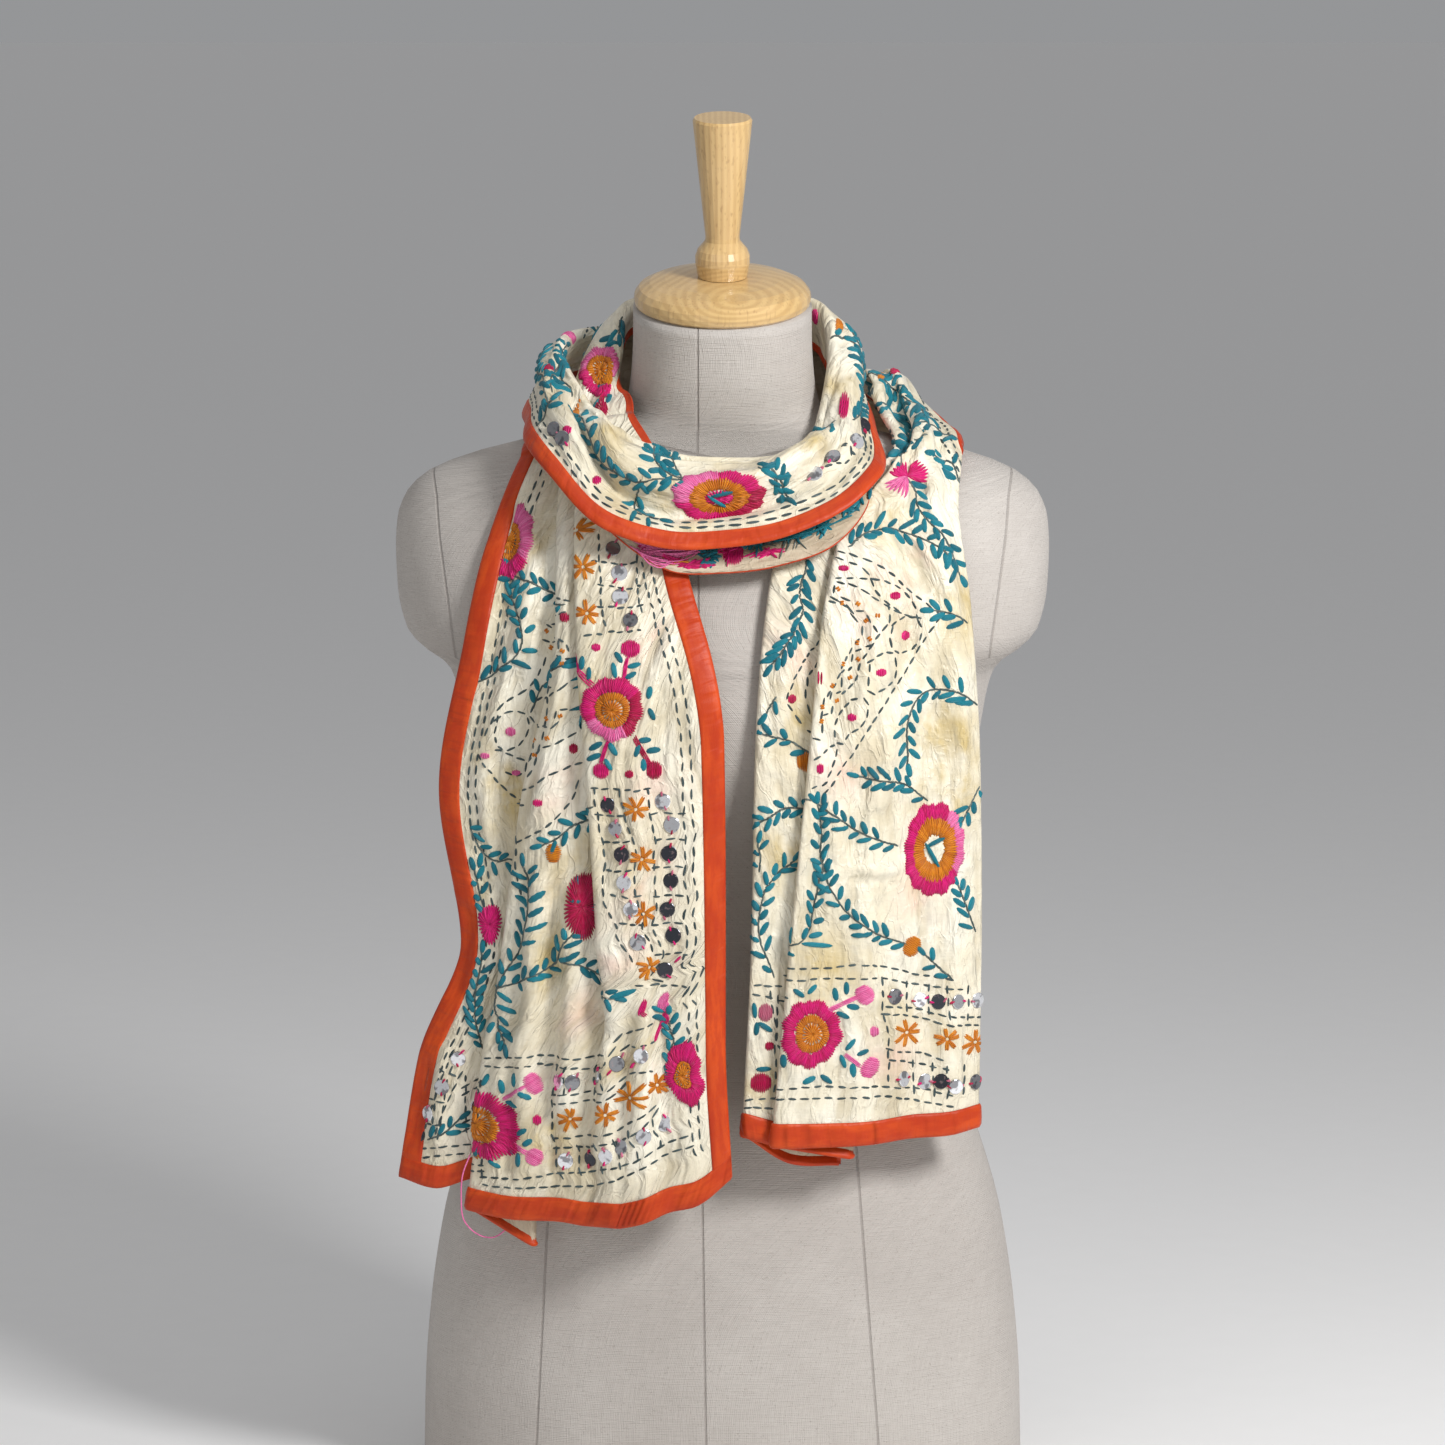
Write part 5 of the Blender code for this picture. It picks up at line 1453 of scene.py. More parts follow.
LEFT_LINES = [
    ((83, 151), (111, 165), (140, 181)), ((98, 183), (120, 193), (141, 205)), ((97, 155), (107, 187)),
    ((113, 166), (122, 195)), ((126, 172), (135, 202)), ((141, 170), (143, 183), (152, 212)),
    ((230, 207), (233, 221), (243, 245)), ((246, 207), (250, 224)), ((263, 207), (266, 224)),
    ((280, 208), (283, 225)), ((295, 214), (300, 230)), ((313, 220), (318, 234)),
    ((231, 207), (261, 205), (285, 205), (304, 211), (320, 219), (335, 224)),
    ((236, 223), (259, 224), (291, 227), (308, 231), (326, 237), (338, 238)),
    ((243, 241), (273, 238), (291, 240), (313, 242), (334, 243), (355, 253)), ((258, 242), (263, 258)),
    ((274, 240), (279, 259)), ((289, 241), (294, 260)), ((306, 242), (311, 260)),
    ((322, 244), (327, 262)), ((340, 242), (345, 263)), ((353, 243), (359, 254), (364, 272)),
    ((394, 137), (391, 163), (393, 200), (390, 223), (389, 233), (381, 232), (379, 244), (380, 258)),
    ((399, 141), (397, 173), (399, 223), (396, 236), (388, 241), (391, 264)),
    ((416, 203), (413, 231), (413, 242), (407, 251), (404, 260), (408, 278)),
    ((421, 206), (418, 233), (417, 247), (410, 255)),
    ((443, 214), (439, 240), (438, 253), (432, 268), (429, 286)),
    ((449, 213), (445, 241), (443, 258), (439, 274), (432, 289)),
    ((470, 167), (466, 204), (460, 243), (456, 269), (452, 301)),
    ((475, 170), (472, 218), (468, 244), (462, 271), (458, 309)), ((399, 195), (465, 219)),
    ((399, 204), (416, 212)), ((399, 223), (413, 231)), ((396, 233), (413, 243)),
    ((448, 227), (461, 233)), ((445, 245), (459, 248)), ((443, 257), (457, 260)),
    ((439, 268), (456, 272)), ((438, 284), (456, 287)), ((423, 37), (459, 43)),
    ((411, 143), (440, 157), (472, 166)), ((428, 38), (410, 143)), ((433, 39), (415, 146)),
    ((453, 42), (434, 155)), ((459, 43), (439, 158)), ((484, 45), (463, 163)), ((488, 45), (467, 164)),
    ((476, 1), (466, 26), (469, 43)), ((481, 3), (472, 26), (475, 43)), ((456, 14), (428, 21), (400, 23)),
    ((455, 24), (434, 28), (419, 33)), ((436, 16), (436, 27)), ((415, 21), (420, 32)),
    ((454, 9), (451, 25)), ((148, 59), (160, 55), (170, 48), (175, 37), (184, 32), (193, 28)),
    ((206, 27), (218, 35), (229, 43), (235, 52), (235, 111)),
    ((183, 36), (181, 44), (183, 53), (190, 57), (202, 52), (206, 43), (196, 36), (183, 36)),
    ((206, 40), (210, 50), (213, 59), (222, 53), (220, 44)),
    ((215, 147), (216, 139), (219, 127), (224, 120), (237, 55)),
    ((227, 150), (236, 147), (244, 138), (250, 129), (257, 111)),
    ((214, 108), (199, 108), (185, 58), (172, 61), (164, 105)),
    ((135, 59), (138, 102), (146, 104), (149, 113)), ((188, 106), (187, 122), (178, 119), (179, 128)),
    ((171, 104), (166, 114), (162, 120)), ((208, 109), (201, 119), (199, 127), (196, 136)),
    ((165, 105), (184, 113), (202, 115), (217, 112), (239, 53)), ((256, 108), (274, 108), (287, 111)),
    ((126, 59), (138, 105), (146, 112)), ((115, 100), (111, 89)), ((122, 100), (125, 59)),
]
LEFT_MIRRORS = [
    (92, 164), (108, 175), (123, 183), (141, 197), (253, 249), (268, 250), (284, 249), (300, 252),
    (316, 250), (332, 252), (351, 261), (241, 214), (256, 216), (272, 216), (289, 220), (306, 225),
    (327, 231), (407, 204), (407, 213), (403, 231), (396, 241), (395, 258), (456, 222), (453, 239),
    (451, 250), (446, 261), (443, 278), (442, 293), (407, 28), (426, 23), (446, 15), (462, 10),
    (427, 144),
]
LEFT_SPRAYS = [
    ((152, 15), (146, 28), (144, 39), (135, 44), (120, 37), (103, 27)),
    ((117, 98), (104, 50), (97, 36), (85, 20)), ((176, 58), (162, 63), (152, 111)),
    ((241, 203), (251, 149), (257, 138), (260, 128)), ((255, 20), (268, 24), (279, 35), (278, 43)),
    ((309, 21), (296, 18), (281, 17)),
    ((349, 110), (337, 112), (324, 117), (308, 122), (293, 121), (273, 114)),
    ((348, 111), (339, 138), (333, 151), (324, 155), (314, 163)),
    ((333, 157), (336, 172), (347, 200), (356, 223)), ((405, 43), (381, 28), (359, 20), (335, 17)),
    ((350, 110), (362, 116), (373, 130), (383, 142)), ((299, 201), (297, 163), (291, 159)),
    ((462, 19), (457, 28), (450, 37)), ((417, 294), (403, 289), (377, 266)),
]
LEFT_STARS = [
    (75, 132, 8), (99, 149, 8), (128, 165, 8), (249, 231, 8), (280, 230, 8), (312, 233, 8), (345, 240, 8),
    (430, 219, 8), (426, 247, 8), (418, 265, 10), (418, 286, 7), (453, 152, 7),
]
LEFT_STEMS = [
    ("magenta", ((174, 212), (163, 209))), ("magenta", ((168, 188), (159, 175), (148, 163))),
    ("magenta", ((203, 212), (215, 210))), ("crimson", ((208, 231), (229, 245))),
    ("pink", ((418, 166), (409, 178))), ("pink", ((443, 179), (451, 194))),
    ("magenta", ((391, 267), (377, 266))), ("magenta", ((384, 271), (377, 266))),
]

left_work = Needlework(left_tail, 11)
edge_rows(left_work, 6.0, left_tail.down[-1] / MM - HEM_CLEAR, True)
sew_motifs(left_work, LEFT_LINES, LEFT_SPRAYS, LEFT_STEMS, LEFT_LEAFS, LEFT_BUDS, LEFT_STARS, LEFT_DOTS,
           LEFT_FLOWERS)
left_work.sew("left_tail_needlework")

# The winding's needlework, in the same cotton: one open flower on the front of the loop, a
# smaller one where it starts up the neck, sprays and rows of stitches along the lower edge.
WINDING_BUDS = [
    ("magenta", 365, 43, 17, 5, 10), ("pink", 937, 24, 9, 6, 0), ("crimson", 7, 59, 10, 9, 150),
    ("mustard", 597, 53, 4, 9, 100), ("magenta", 586, 29, 5, 5, 0), ("magenta", 555, 23, 5, 5, 0),
    ("mustard", 287, 63, 6, 10, 100), ("magenta", 266, 85, 10, 5, 0), ("magenta", 11, 78, 4, 6, 90),
]
WINDING_FLOWERS = [
    ("loop", -0.58, 482, 43, 29, 16), ("inner", 0.55, 40, 51, 15, 18),
]
WINDING_LEAFS = [
    (24, 52, 18, 65), (31, 45, 24, 57), (57, 56, 52, 65), (63, 54, 60, 63),
]
WINDING_LINES = [
    ((422, 37), (412, 31), (399, 25), (393, 31), (397, 38)), ((396, 35), (394, 26)),
    ((359, 21), (373, 17)),
]
WINDING_MIRRORS = [
    (409, 35), (384, 28), (353, 19), (599, 22), (588, 22), (424, 34),
]
WINDING_SPRAYS = [
    ((500, 54), (517, 51), (528, 46), (543, 45), (557, 40), (569, 45), (587, 48)),
    ((527, 46), (529, 30), (525, 21), (514, 19)), ((504, 56), (518, 85)),
    ((442, 26), (447, 46), (452, 56)), ((384, 51), (391, 62)),
    ((368, 34), (335, 20), (318, 31), (289, 53)), ((610, 49), (630, 52)),
    ((618, 38), (636, 47), (650, 55)), ((300, 63), (297, 55), (301, 45)), ((24, 60), (16, 57)),
    ((618, 15), (612, 32)), ((78, 74), (62, 68)), ((144, 3), (137, 15)), ((973, 72), (964, 97)),
    ((500, 54), (510, 56), (519, 63), (531, 86)), ((458, 58), (450, 48), (445, 32)),
]
WINDING_STARS = [
    (799, 1, 6),
]
WINDING_STEMS = [
    ("crimson", ((22, 55), (12, 59))),
]

winding_work = Needlework(winding, 12, covered=0.0098)
edge_rows(winding_work, 4.0, winding.down[-1] / MM - 4, False, LOOP_ROWS)
sew_motifs(winding_work, WINDING_LINES, WINDING_SPRAYS, WINDING_STEMS, WINDING_LEAFS, WINDING_BUDS,
           WINDING_STARS, [], WINDING_FLOWERS)
winding_work.sew("winding_needlework", 2.0)

# The same pattern goes on round the back of the neck, in the same threads: one flower behind,
# with sprays, buds and stars on either side of it.
BACK_LINES = [
    ((720, 66), (745, 60), (770, 66), (795, 60)), ((865, 28), (890, 34), (915, 28)),
]
BACK_SPRAYS = [
    ((716, 40), (738, 52), (762, 50), (786, 38), (804, 36)), ((736, 68), (750, 60), (762, 50)),
    ((846, 56), (862, 48), (884, 56), (905, 60)), ((856, 34), (866, 42), (880, 56)),
    ((918, 36), (940, 48), (962, 52), (980, 44)), ((612, 30), (632, 38), (655, 34), (678, 42), (700, 38)),
    ((640, 60), (660, 56), (680, 60)), ((72, 40), (95, 52), (120, 50), (146, 42)),
    ((160, 60), (186, 50), (212, 52), (236, 60)), ((176, 34), (196, 40), (212, 52)),
]
BACK_BUDS = [
    ("magenta", 831, 76, 9, 9, 0), ("pink", 700, 60, 9, 9, 20), ("magenta", 905, 44, 8, 8, 0),
    ("crimson", 640, 44, 7, 7, 0),
]
BACK_STARS = [
    (720, 34, 7), (925, 64, 7), (252, 40, 7),
]
round_back = Needlework(winding, 15, seen=False)
sew_motifs(round_back, BACK_LINES, BACK_SPRAYS, [("magenta", ((826, 60), (830, 72)))], [], BACK_BUDS,
           BACK_STARS, [], [("band", 0.55, 826, 42, 16, 15)])
round_back.sew("round_back_needlework", 2.0)

# The wrong side of the needlework shows under the loop, where its threads cross in tangles:
# colour, number, middle and reach of the patch, shortest and longest, their way and how far
# it strays in degrees, and the thread's width.
TANGLES_BEFORE = [
    ("magenta", 20, (522, 155), (7, 3), (6, 12), 75, 25, 1.3),
    ("crimson", 12, (506, 151), (12, 2), (10, 22), 84, 14, 1.2),
    ("mustard", 10, (508, 163), (8, 2), (5, 9), 88, 15, 1.2),
    ("magenta", 20, (494, 165), (10, 3), (7, 13), 84, 18, 1.4),
]
TANGLES_AFTER = [
    ("magenta", 8, (476, 157), (4, 4), (8, 14), 70, 40, 1.0),
    ("teal", 12, (486, 160), (6, 6), (6, 11), 35, 50, 1.9),
    ("teal", 26, (444, 146), (12, 8), (6, 12), 45, 50, 2.0),
    ("teal", 26, (424, 142), (12, 8), (7, 13), 20, 45, 2.1),
    ("teal", 20, (403, 138), (9, 5), (7, 13), 20, 40, 2.2),
    ("teal", 18, (464, 152), (9, 6), (7, 13), 30, 50, 1.9),
    ("magenta", 12, (456, 160), (12, 2), (6, 12), 80, 25, 1.3),
    ("stem", 16, (450, 150), (28, 8), (10, 26), 70, 35, 0.9),
]
loose_ends = Needlework(winding, 14, under=True, covered=0.0030)
for row in TANGLES_BEFORE:
    loose_ends.tangle(*row)
loose_ends.satin("magenta", (474, 158), 15, 12, 0)
for row in TANGLES_AFTER:
    loose_ends.tangle(*row)
loose_ends.strands(((466, 153), (452, 141)), "crimson")
loose_ends.sew("winding_loose_ends", 2.0)

# Ends of the same threads were never cut and hang slack under the loop, between one patch of
# stitches and another: colour, number, the patches and their reach, sag and thickness.
THREAD_SIDES = 6
THREAD_FINENESS = 7
SLACK_THREADS = [
    ("pink", 26, (523, 159), (493, 152), (3.0, 2.2), 3.0, 0.42),
    ("pink", 10, (524, 163), (506, 160), (3.0, 2.0), 4.0, 0.42),
    ("magenta", 6, (520, 158), (500, 162), (4.0, 2.0), 2.0, 0.45),
    ("teal", 8, (452, 152), (424, 146), (8.0, 4.0), 3.0, 0.5),
]


def add_threads(name, routes):
    """Round threads, each laid through points: its colour, half its thickness and the points."""
    points, faces, kinds, ends, count = [], [], [], [], 0
    cosines, sines = circle(THREAD_SIDES)
    for thread, radius, route in routes:
        line = curve_line([np.array(spot, float) for spot in route], THREAD_FINENESS)[1]
        run = np.gradient(line, axis=0)
        side = unit(np.cross(run, (0.0, 1.0, 0.3)))
        up = unit(np.cross(side, run))
        ring = cosines[:, None] * side[:, None] + sines[:, None] * up[:, None]
        points.append((line[:, None] + radius * MM * ring).reshape(-1, 3))
        tube = grid_faces(len(line), THREAD_SIDES, closed=True, turned=True) + count
        faces.append(tube)
        kinds += [THREAD_ORDER.index(thread)] * len(tube)
        last = count + (len(line) - 1) * THREAD_SIDES
        ends += [range(count, count + THREAD_SIDES), range(last + THREAD_SIDES - 1, last - 1, -1)]
        count += len(line) * THREAD_SIDES
    kinds += [THREAD_ORDER.index(thread) for thread, _, _ in routes for _ in (0, 1)]
    points = np.concatenate(points)
    threads = add_piece(name, points, np.concatenate(faces), thread_materials, kinds, points[:, :2],
                        {"tone": np.full(len(points), 0.6)}, ends)
    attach(threads, "root")


def hanging(thread, count, start, end, scatter, sag, radius, chance):
    """Slack threads on the loop's wrong side between two patches: millimetres down and across."""
    routes = []
    for _ in range(count):
        spots = np.array([start, end], float) + chance.normal(0, 1, (2, 2)) * scatter
        first, last = [winding.at(down * MM, across * MM, lift=-0.0012)[0] for down, across in spots]
        drop = np.array([0, 0, sag * chance.uniform(0.5, 1.2) * MM])
        out = winding.at(*(spots.mean(axis=0) * MM), lift=-0.0030 - chance.uniform(0, 0.0025))[0]
        middle = out - drop
        routes.append((thread, radius, [first, (first + middle) / 2 - drop * 0.35, middle,
                                        (last + middle) / 2 - drop * 0.35, last]))
    return routes


chance = np.random.default_rng(16)
add_threads("hanging_threads", [route for row in SLACK_THREADS for route in hanging(*row, chance)])

# The right tail's needlework, in stranded cotton through silk and backing: a chain of wavy
# lines and dots, the large open flower in the middle, long sprays and the flower at the hem.
RIGHT_BUDS = [
    ("magenta", 220, 134, 4, 6, 0), ("magenta", 238, 107, 5, 6, 0), ("magenta", 263, 105, 6, 5, 0),
    ("magenta", 280, 130, 5, 6, 0), ("magenta", 307, 154, 5, 5, 0), ("magenta", 343, 181, 7, 4, 0),
    ("crimson", 307, 268, 6, 5, 0), ("crimson", 292, 174, 9, 2, 0), ("mustard", 340, 267, 13, 10, 180),
    ("mustard", 452, 122, 11, 12, 120), ("pink", 477, 155, 12, 12, 60), ("pink", 523, 154, 12, 12, 110),
    ("pink", 501, 150, 7, 5, 0), ("rose", 494, 315, 12, 8, 0), ("crimson", 513, 317, 6, 5, 0),
    ("crimson", 536, 325, 13, 12, 180), ("mustard", 26, 65, 5, 9, 110), ("crimson", 27, 49, 6, 7, 110),
]
RIGHT_DOTS = [
    (234, 142), (242, 142), (241, 132), (249, 124), (251, 132), (262, 132), (264, 140), (273, 142),
    (278, 154), (284, 151), (293, 166), (300, 163), (307, 175), (315, 177),
]
RIGHT_FLOWERS = [
    ("large", -0.62, 394, 104, 21, 30), ("magenta", 0.55, 502, 191, 19, 22), ("fans", 0.0, 161, 67, 13, 11),
]
RIGHT_LEAFS = [
    (476, 199, 480, 192), (478, 190, 472, 185), (481, 172, 473, 174), (477, 166, 469, 167),
    (484, 166, 485, 158), (488, 173, 491, 166), (511, 171, 504, 165), (514, 164, 512, 155),
    (522, 171, 514, 174), (528, 166, 519, 167), (532, 198, 528, 190), (527, 187, 532, 179),
    (501, 322, 504, 314), (499, 323, 490, 321), (509, 325, 501, 323), (523, 209, 515, 209),
    (529, 328, 526, 318),
]
RIGHT_LINES = [
    ((210, 131), (211, 122), (215, 113), (225, 105), (235, 98), (247, 88), (255, 82)),
    ((215, 134), (217, 124), (222, 120), (231, 119), (241, 114), (249, 106)),
    ((257, 82), (267, 93), (278, 104), (287, 115), (296, 127), (306, 137), (317, 148), (327, 158),
     (343, 169), (359, 179)),
    ((227, 140), (225, 127), (227, 113), (236, 101), (246, 96), (254, 95)),
    ((254, 95), (250, 106), (241, 117), (233, 126), (229, 134), (230, 143)),
    ((255, 114), (252, 104), (256, 95), (264, 95), (271, 101), (272, 112), (268, 118), (261, 118),
     (255, 114)),
    ((274, 135), (271, 127), (271, 118), (279, 117), (286, 121), (290, 132), (291, 140), (283, 139),
     (274, 135)),
    ((306, 161), (298, 153), (295, 144), (302, 143), (310, 148), (317, 157), (325, 167), (316, 167),
     (306, 161)),
    ((337, 183), (330, 175), (326, 169), (338, 172), (350, 178), (355, 185)),
    ((243, 149), (243, 141), (249, 138), (257, 136), (268, 145), (279, 155), (293, 165), (306, 174),
     (319, 178)),
    ((244, 114), (252, 117), (258, 124), (267, 133), (275, 141), (284, 147), (294, 157)),
    ((235, 145), (241, 147), (239, 138), (246, 138), (245, 130), (252, 130), (257, 128)),
    ((266, 133), (269, 143), (278, 148), (283, 157), (293, 159), (298, 167), (307, 168), (312, 177)),
    ((270, 234), (283, 251), (296, 263), (306, 271)), ((312, 271), (317, 266), (322, 261), (326, 183)),
    ((283, 243), (291, 251), (299, 255), (311, 257), (317, 255)),
    ((464, 202), (461, 176), (458, 158), (463, 137), (470, 116), (476, 93)),
    ((471, 202), (467, 170), (468, 144), (474, 126), (478, 109), (482, 89)), ((479, 316), (476, 299)),
    ((485, 317), (481, 204)), ((470, 143), (493, 142), (535, 141)),
    ((491, 141), (494, 126), (498, 113), (502, 101), (507, 72)),
    ((487, 138), (492, 116), (498, 97), (502, 73)), ((475, 125), (490, 125)), ((479, 110), (493, 110)),
    ((481, 98), (497, 98)), ((483, 83), (500, 83)), ((513, 141), (517, 128), (520, 113), (525, 101)),
    ((520, 139), (527, 113), (530, 101)), ((525, 123), (541, 122)), ((528, 109), (544, 108)),
    ((530, 100), (546, 99)), ((531, 87), (549, 88)),
    ((536, 211), (534, 178), (536, 145), (539, 129), (542, 114), (546, 98)),
    ((542, 210), (541, 172), (542, 146), (546, 128), (550, 110), (553, 97)), ((548, 331), (543, 316)),
    ((553, 332), (550, 319)), ((484, 304), (513, 310), (542, 211)), ((483, 308), (513, 313), (541, 317)),
]
RIGHT_MIRRORS = [
    (481, 134), (486, 116), (488, 104), (489, 91), (491, 75), (533, 131), (537, 114), (537, 104),
    (541, 95), (542, 77),
]
RIGHT_SPRAYS = [
    ((166, 68), (183, 66), (198, 63), (213, 61), (230, 59)),
    ((205, 121), (194, 101), (199, 81), (212, 70), (222, 63)), ((257, 63), (252, 84)),
    ((219, 207), (240, 224), (259, 237), (275, 257), (291, 276)), ((363, 188), (369, 280), (382, 303)),
    ((334, 265), (331, 276), (331, 293)), ((310, 281), (318, 288)),
    ((307, 66), (298, 84), (299, 103), (315, 117), (339, 120)), ((363, 108), (350, 126), (343, 154)),
    ((387, 131), (380, 147), (372, 164), (364, 182)), ((473, 96), (459, 112)),
    ((450, 126), (435, 155), (421, 170), (402, 179), (379, 181), (365, 182)),
    ((469, 297), (449, 198), (424, 186), (397, 179)), ((360, 70), (378, 84)), ((446, 77), (418, 89)),
    ((470, 306), (454, 313), (434, 311), (418, 303), (401, 285)), ((410, 307), (396, 306)),
    ((20, 78), (38, 59), (67, 42), (95, 40)), ((148, 68), (110, 70), (70, 56), (63, 68)),
    ((114, 14), (110, 26), (109, 43)), ((165, 28), (149, 28), (147, 39)),
    ((127, 48), (119, 70), (121, 79)),
]
RIGHT_STARS = [
    (505, 127, 9), (511, 100, 8), (517, 77, 8),
]
RIGHT_STEMS = [
    ("pink", ((488, 179), (478, 159))), ("pink", ((514, 171), (521, 162))),
]
right_work = Needlework(right_tail, 13)
edge_rows(right_work, 6.0, right_tail.down[-1] / MM - HEM_CLEAR, True)
sew_motifs(right_work, RIGHT_LINES, RIGHT_SPRAYS, RIGHT_STEMS, RIGHT_LEAFS, RIGHT_BUDS, RIGHT_STARS,
           RIGHT_DOTS, RIGHT_FLOWERS)
right_work.sew("right_tail_needlework")

# One pink thread has come loose at the left hem and hangs there as a slack loop: its steps
# right and up from the flower that it was part of.
LOOSE_LOOP = ((0, 0), (-4.5, -12), (-5.5, -26), (-4.0, -40), (4.5, -49), (15, -50.5), (25, -41), (28, -29))
foot, _ = left_tail.at(0.458, 0.154, lift=0.0022)
add_threads("loose_loop", [("pink", 0.45, [foot + np.array([x, -2.5 if k else 0, z]) * MM
                                           for k, (x, z) in enumerate(LOOSE_LOOP)])])

# Mirrors: small discs of old mirror glass, some clouded, each held flat to the silk by bright
# stitches over its rim. Their tones, from near black to near white, and their dark patches are
# partly clouded glass and partly painted reflections.
MIRROR_RADIUS = 4.7
MIRROR_SIDES = 20
# Share of the radius, height above the cloth
MIRROR_PROFILE = ((0.0, 0.9), (0.93, 0.9), (1.0, 0.7), (1.0, -0.3))
MIRROR_TILT = 0.06
# Tones of the mirrors, from dark to bright: partly clouded glass, partly painted reflections
SHINES = [0.03, 0.25, 0.6, 0.9, 1.0]
TIE_THREADS = ["magenta", "rose", "crimson"]
TIE_OUTSIDE = 1.2
TIE_INSIDE = 1.8

glass, shader, shades = new_material("old mirror glass", Metallic=0.7, Roughness=0.16)
clouding_and_reflections = shades.noise(shades.whereabouts(), 190.0, 2.0)
# Painted reflection: each mirror's tone and its dark patches are painted in, partly as clouded old glass.
tint = shades.mix(shades.mark("shine"), (0.030, 0.034, 0.045, 1), (0.88, 0.89, 0.92, 1))
tint = shades.mix(shades.ramp(clouding_and_reflections, 0.50, 0.60, 0.0, 0.7), tint, (0.055, 0.05, 0.065, 1))
specks = shades.noise(shades.whereabouts(), 420.0, 3.0)
tint = shades.mix(shades.ramp(specks, 0.58, 0.7, 0.0, 0.5), tint, (0.42, 0.30, 0.30, 1))
shades.join(tint, shader.inputs["Base Color"])


def add_mirrors(name, stretch, spots, seed, tie_way, lean=0.0):
    """Mirrors with their ties; lean turns them to the front, off the slope that they lie on."""
    chance = np.random.default_rng(seed)
    points, faces, shine, count = [], [], [], 0
    size = len(MIRROR_PROFILE)
    cosines, sines = circle(MIRROR_SIDES)
    for spot in spots:
        centre, facing = stretch.at(spot[0] * MM, spot[1] * MM, lift=CLOTH_WALL / 2)
        ahead, _ = stretch.at(spot[0] * MM + 3 * MM, spot[1] * MM, lift=CLOTH_WALL / 2)
        facing = facing + chance.normal(0, MIRROR_TILT, 3) + lean * np.array([0, -1.0, 0.1])
        centre = centre + lean * MM * facing
        facing /= np.linalg.norm(facing)
        way = ahead - centre
        way -= facing * (way @ facing)
        way /= np.linalg.norm(way)
        side = np.cross(facing, way)
        radius = MIRROR_RADIUS * chance.uniform(0.94, 1.05)
        ring = cosines[:, None] * way + sines[:, None] * side
        for reach, rise in MIRROR_PROFILE:
            points.append(centre + ring * radius * reach * MM + facing * rise * MM)
        faces.append((grid_faces(size, MIRROR_SIDES, closed=True) + count)[MIRROR_SIDES:])
        rim = count + MIRROR_SIDES
        faces.append(np.array([[count, rim + k, rim + k + 1, rim + (k + 2) % MIRROR_SIDES]
                               for k in range(0, MIRROR_SIDES, 2)]))
        shine += [chance.choice(SHINES)] * (size * MIRROR_SIDES)
        count += size * MIRROR_SIDES
    mirrors = add_piece(name, np.concatenate(points), np.concatenate(faces), [glass], marks={"shine": shine})
    mirrors.data.shade_flat()
    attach(mirrors, "root")
    ties = Needlework(stretch, seed + 1, seen=False)
    for spot in spots:
        for sign in (-1, 1):
            thread = chance.choice(TIE_THREADS)
            foot = spot + turned(tie_way, chance.normal(0, 12)) * sign * (MIRROR_RADIUS + TIE_OUTSIDE)
            tip = spot + turned(tie_way, chance.normal(0, 14)) * sign * (MIRROR_RADIUS - TIE_INSIDE)
            ties.stitch(thread, foot, tip, width=1.5, height=0.7, base=0.95)
    ties.sew(f"{name}_ties", 2.0)


add_mirrors("left_tail_mirrors", left_tail, LEFT_MIRRORS, 21, (1.0, 0.0))
add_mirrors("winding_mirrors", winding, WINDING_MIRRORS, 31, (1.0, 0.0), 0.7)
add_mirrors("right_tail_mirrors", right_tail, RIGHT_MIRRORS, 41, (0.0, 1.0))

# The floor is plain, pale and matt, and so wide that its end is never seen. It only catches
# the form's shadow.
floor_material, shader, shades = new_material("pale floor", Roughness=0.8)
speckle = shades.noise(shades.whereabouts(), 40.0, 2.0)
shades.join(shades.mix(speckle, (0.89, 0.88, 0.87, 1), (0.91, 0.90, 0.89, 1)), shader.inputs["Base Color"])
FLOOR_REACH = 400.0
floor = add_piece("floor", [(-FLOOR_REACH, -FLOOR_REACH, 0), (FLOOR_REACH, -FLOOR_REACH, 0),
                            (FLOOR_REACH, FLOOR_REACH, 0), (-FLOOR_REACH, FLOOR_REACH, 0)],
                  [(0, 1, 2, 3)], [floor_material])

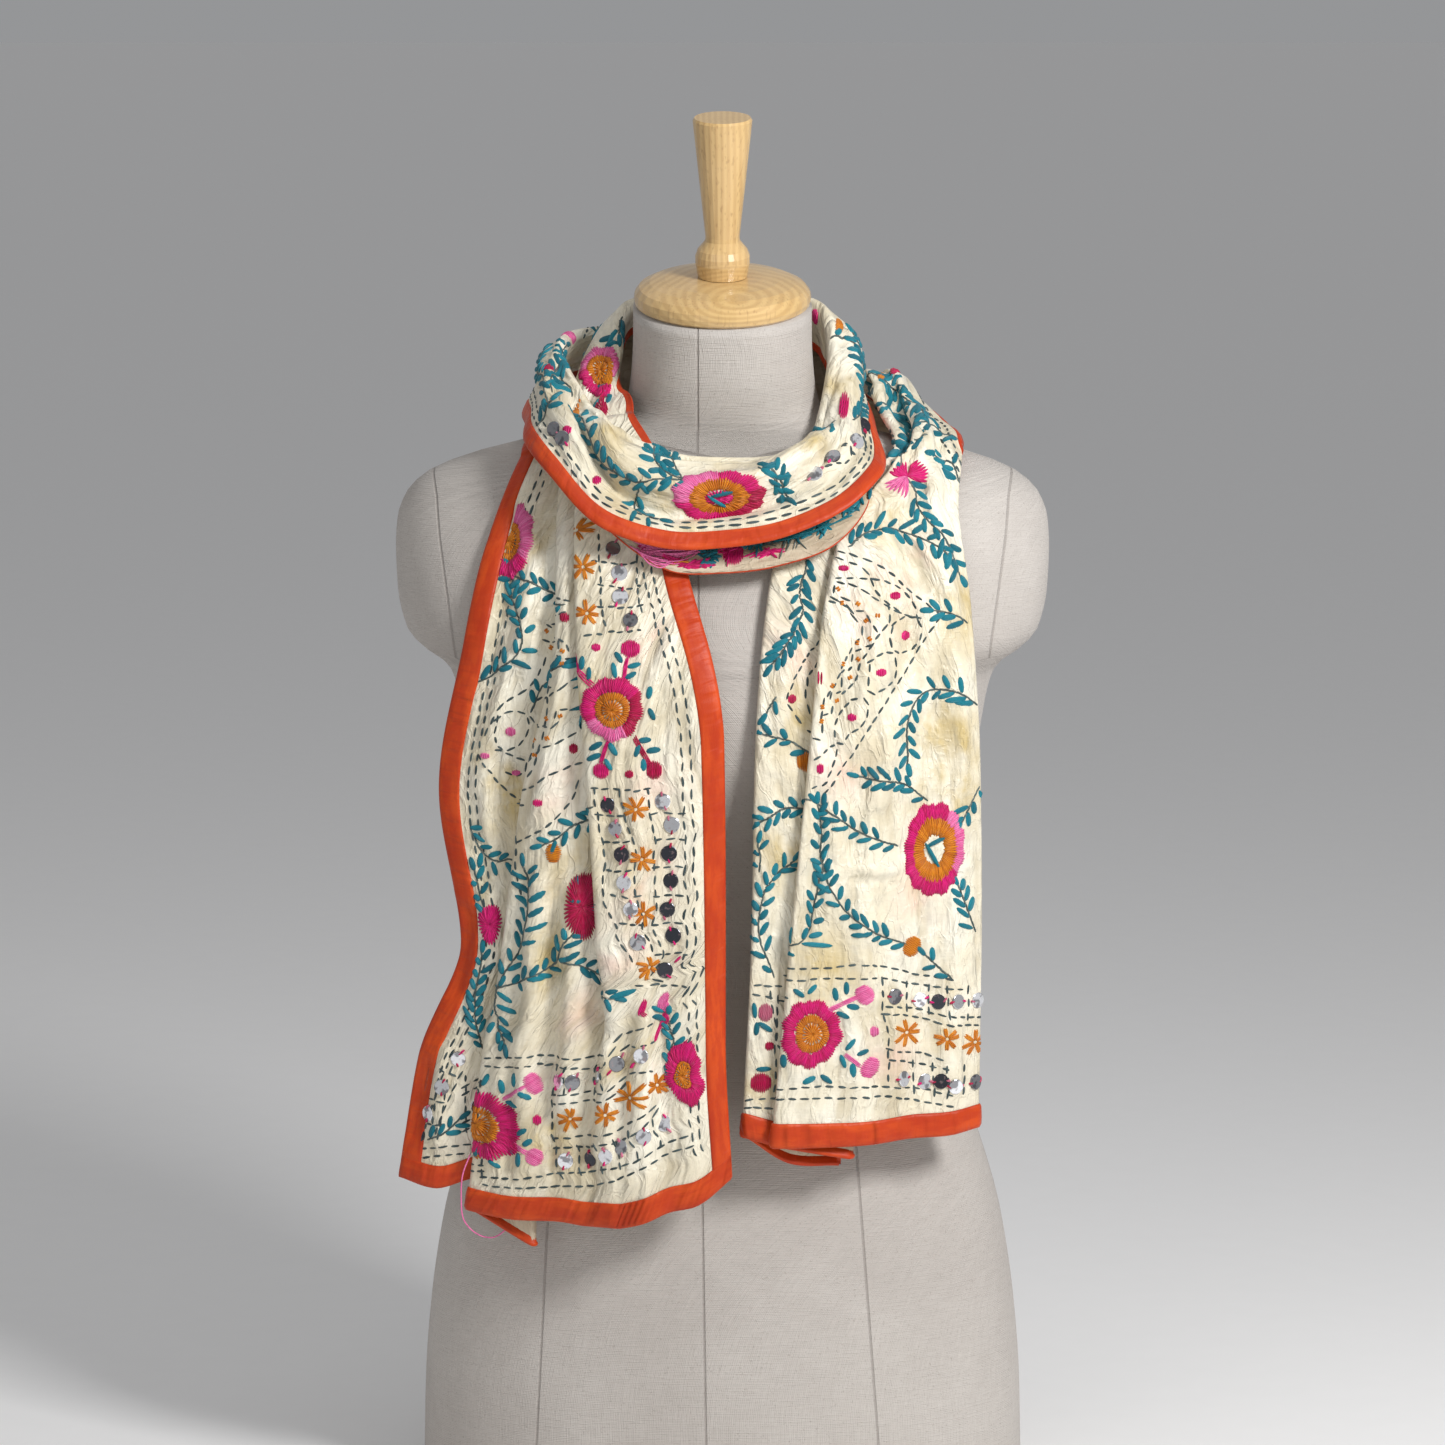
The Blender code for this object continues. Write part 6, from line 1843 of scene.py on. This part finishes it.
# The room is pale grey and lights all sides softly; it is seen a little darker than it shines,
# so that it meets the floor without an edge. A soft light stands at the front right, a weak
# one at the front left, and one hangs above.
ROOM_LIGHT = 0.43
ROOM_SEEN = 0.385
world = bpy.data.worlds.new("room")
bpy.context.scene.world = world
world.use_nodes = True
background = world.node_tree.nodes["Background"]
background.inputs["Color"].default_value = (0.78, 0.79, 0.81, 1)
seen = world.node_tree.nodes.new("ShaderNodeLightPath")
strength = world.node_tree.nodes.new("ShaderNodeMapRange")
strength.inputs["To Min"].default_value = ROOM_LIGHT
strength.inputs["To Max"].default_value = ROOM_SEEN
world.node_tree.links.new(seen.outputs["Is Camera Ray"], strength.inputs["Value"])
world.node_tree.links.new(strength.outputs["Result"], background.inputs["Strength"])
LIGHTS_AIM = (0, 0, 0.5)


def add_light(name, place, size, watts):
    lamp = bpy.data.lights.new(name, "AREA")
    lamp.size = size
    lamp.energy = watts
    light = bpy.data.objects.new(name, lamp)
    light.location = place
    light.rotation_euler = (Vector(LIGHTS_AIM) - Vector(place)).to_track_quat("-Z", "Y").to_euler()
    bpy.context.scene.collection.objects.link(light)


add_light("key light", (1.0, -1.25, 1.4), size=0.42, watts=31)
add_light("front light", (-1.0, -2.2, 1.0), size=1.2, watts=4)
add_light("top light", (-0.2, -0.3, 2.6), size=1.2, watts=6)

# The camera stands three metres in front, a little above level, with a lens as long as gives
# the frame's width at the form. Colours are shown as they are, with no film look.
bpy.context.scene.view_settings.view_transform = "Standard"
SENSOR_WIDTH = 36
CAMERA_DISTANCE = 3.0
CAMERA_ELEVATION = math.radians(8)
CAMERA_AIM = Vector((0, -0.05, 0.48))
FRAME_WIDTH = 0.881
view = bpy.data.cameras.new("camera")
view.sensor_width = SENSOR_WIDTH
view.lens = SENSOR_WIDTH * CAMERA_DISTANCE / FRAME_WIDTH
camera = bpy.data.objects.new("camera", view)
away = Vector((0, -math.cos(CAMERA_ELEVATION), math.sin(CAMERA_ELEVATION)))
camera.location = CAMERA_AIM + CAMERA_DISTANCE * away
camera.rotation_euler = (math.pi / 2 - CAMERA_ELEVATION, 0, 0)
bpy.context.scene.collection.objects.link(camera)
bpy.context.scene.camera = camera
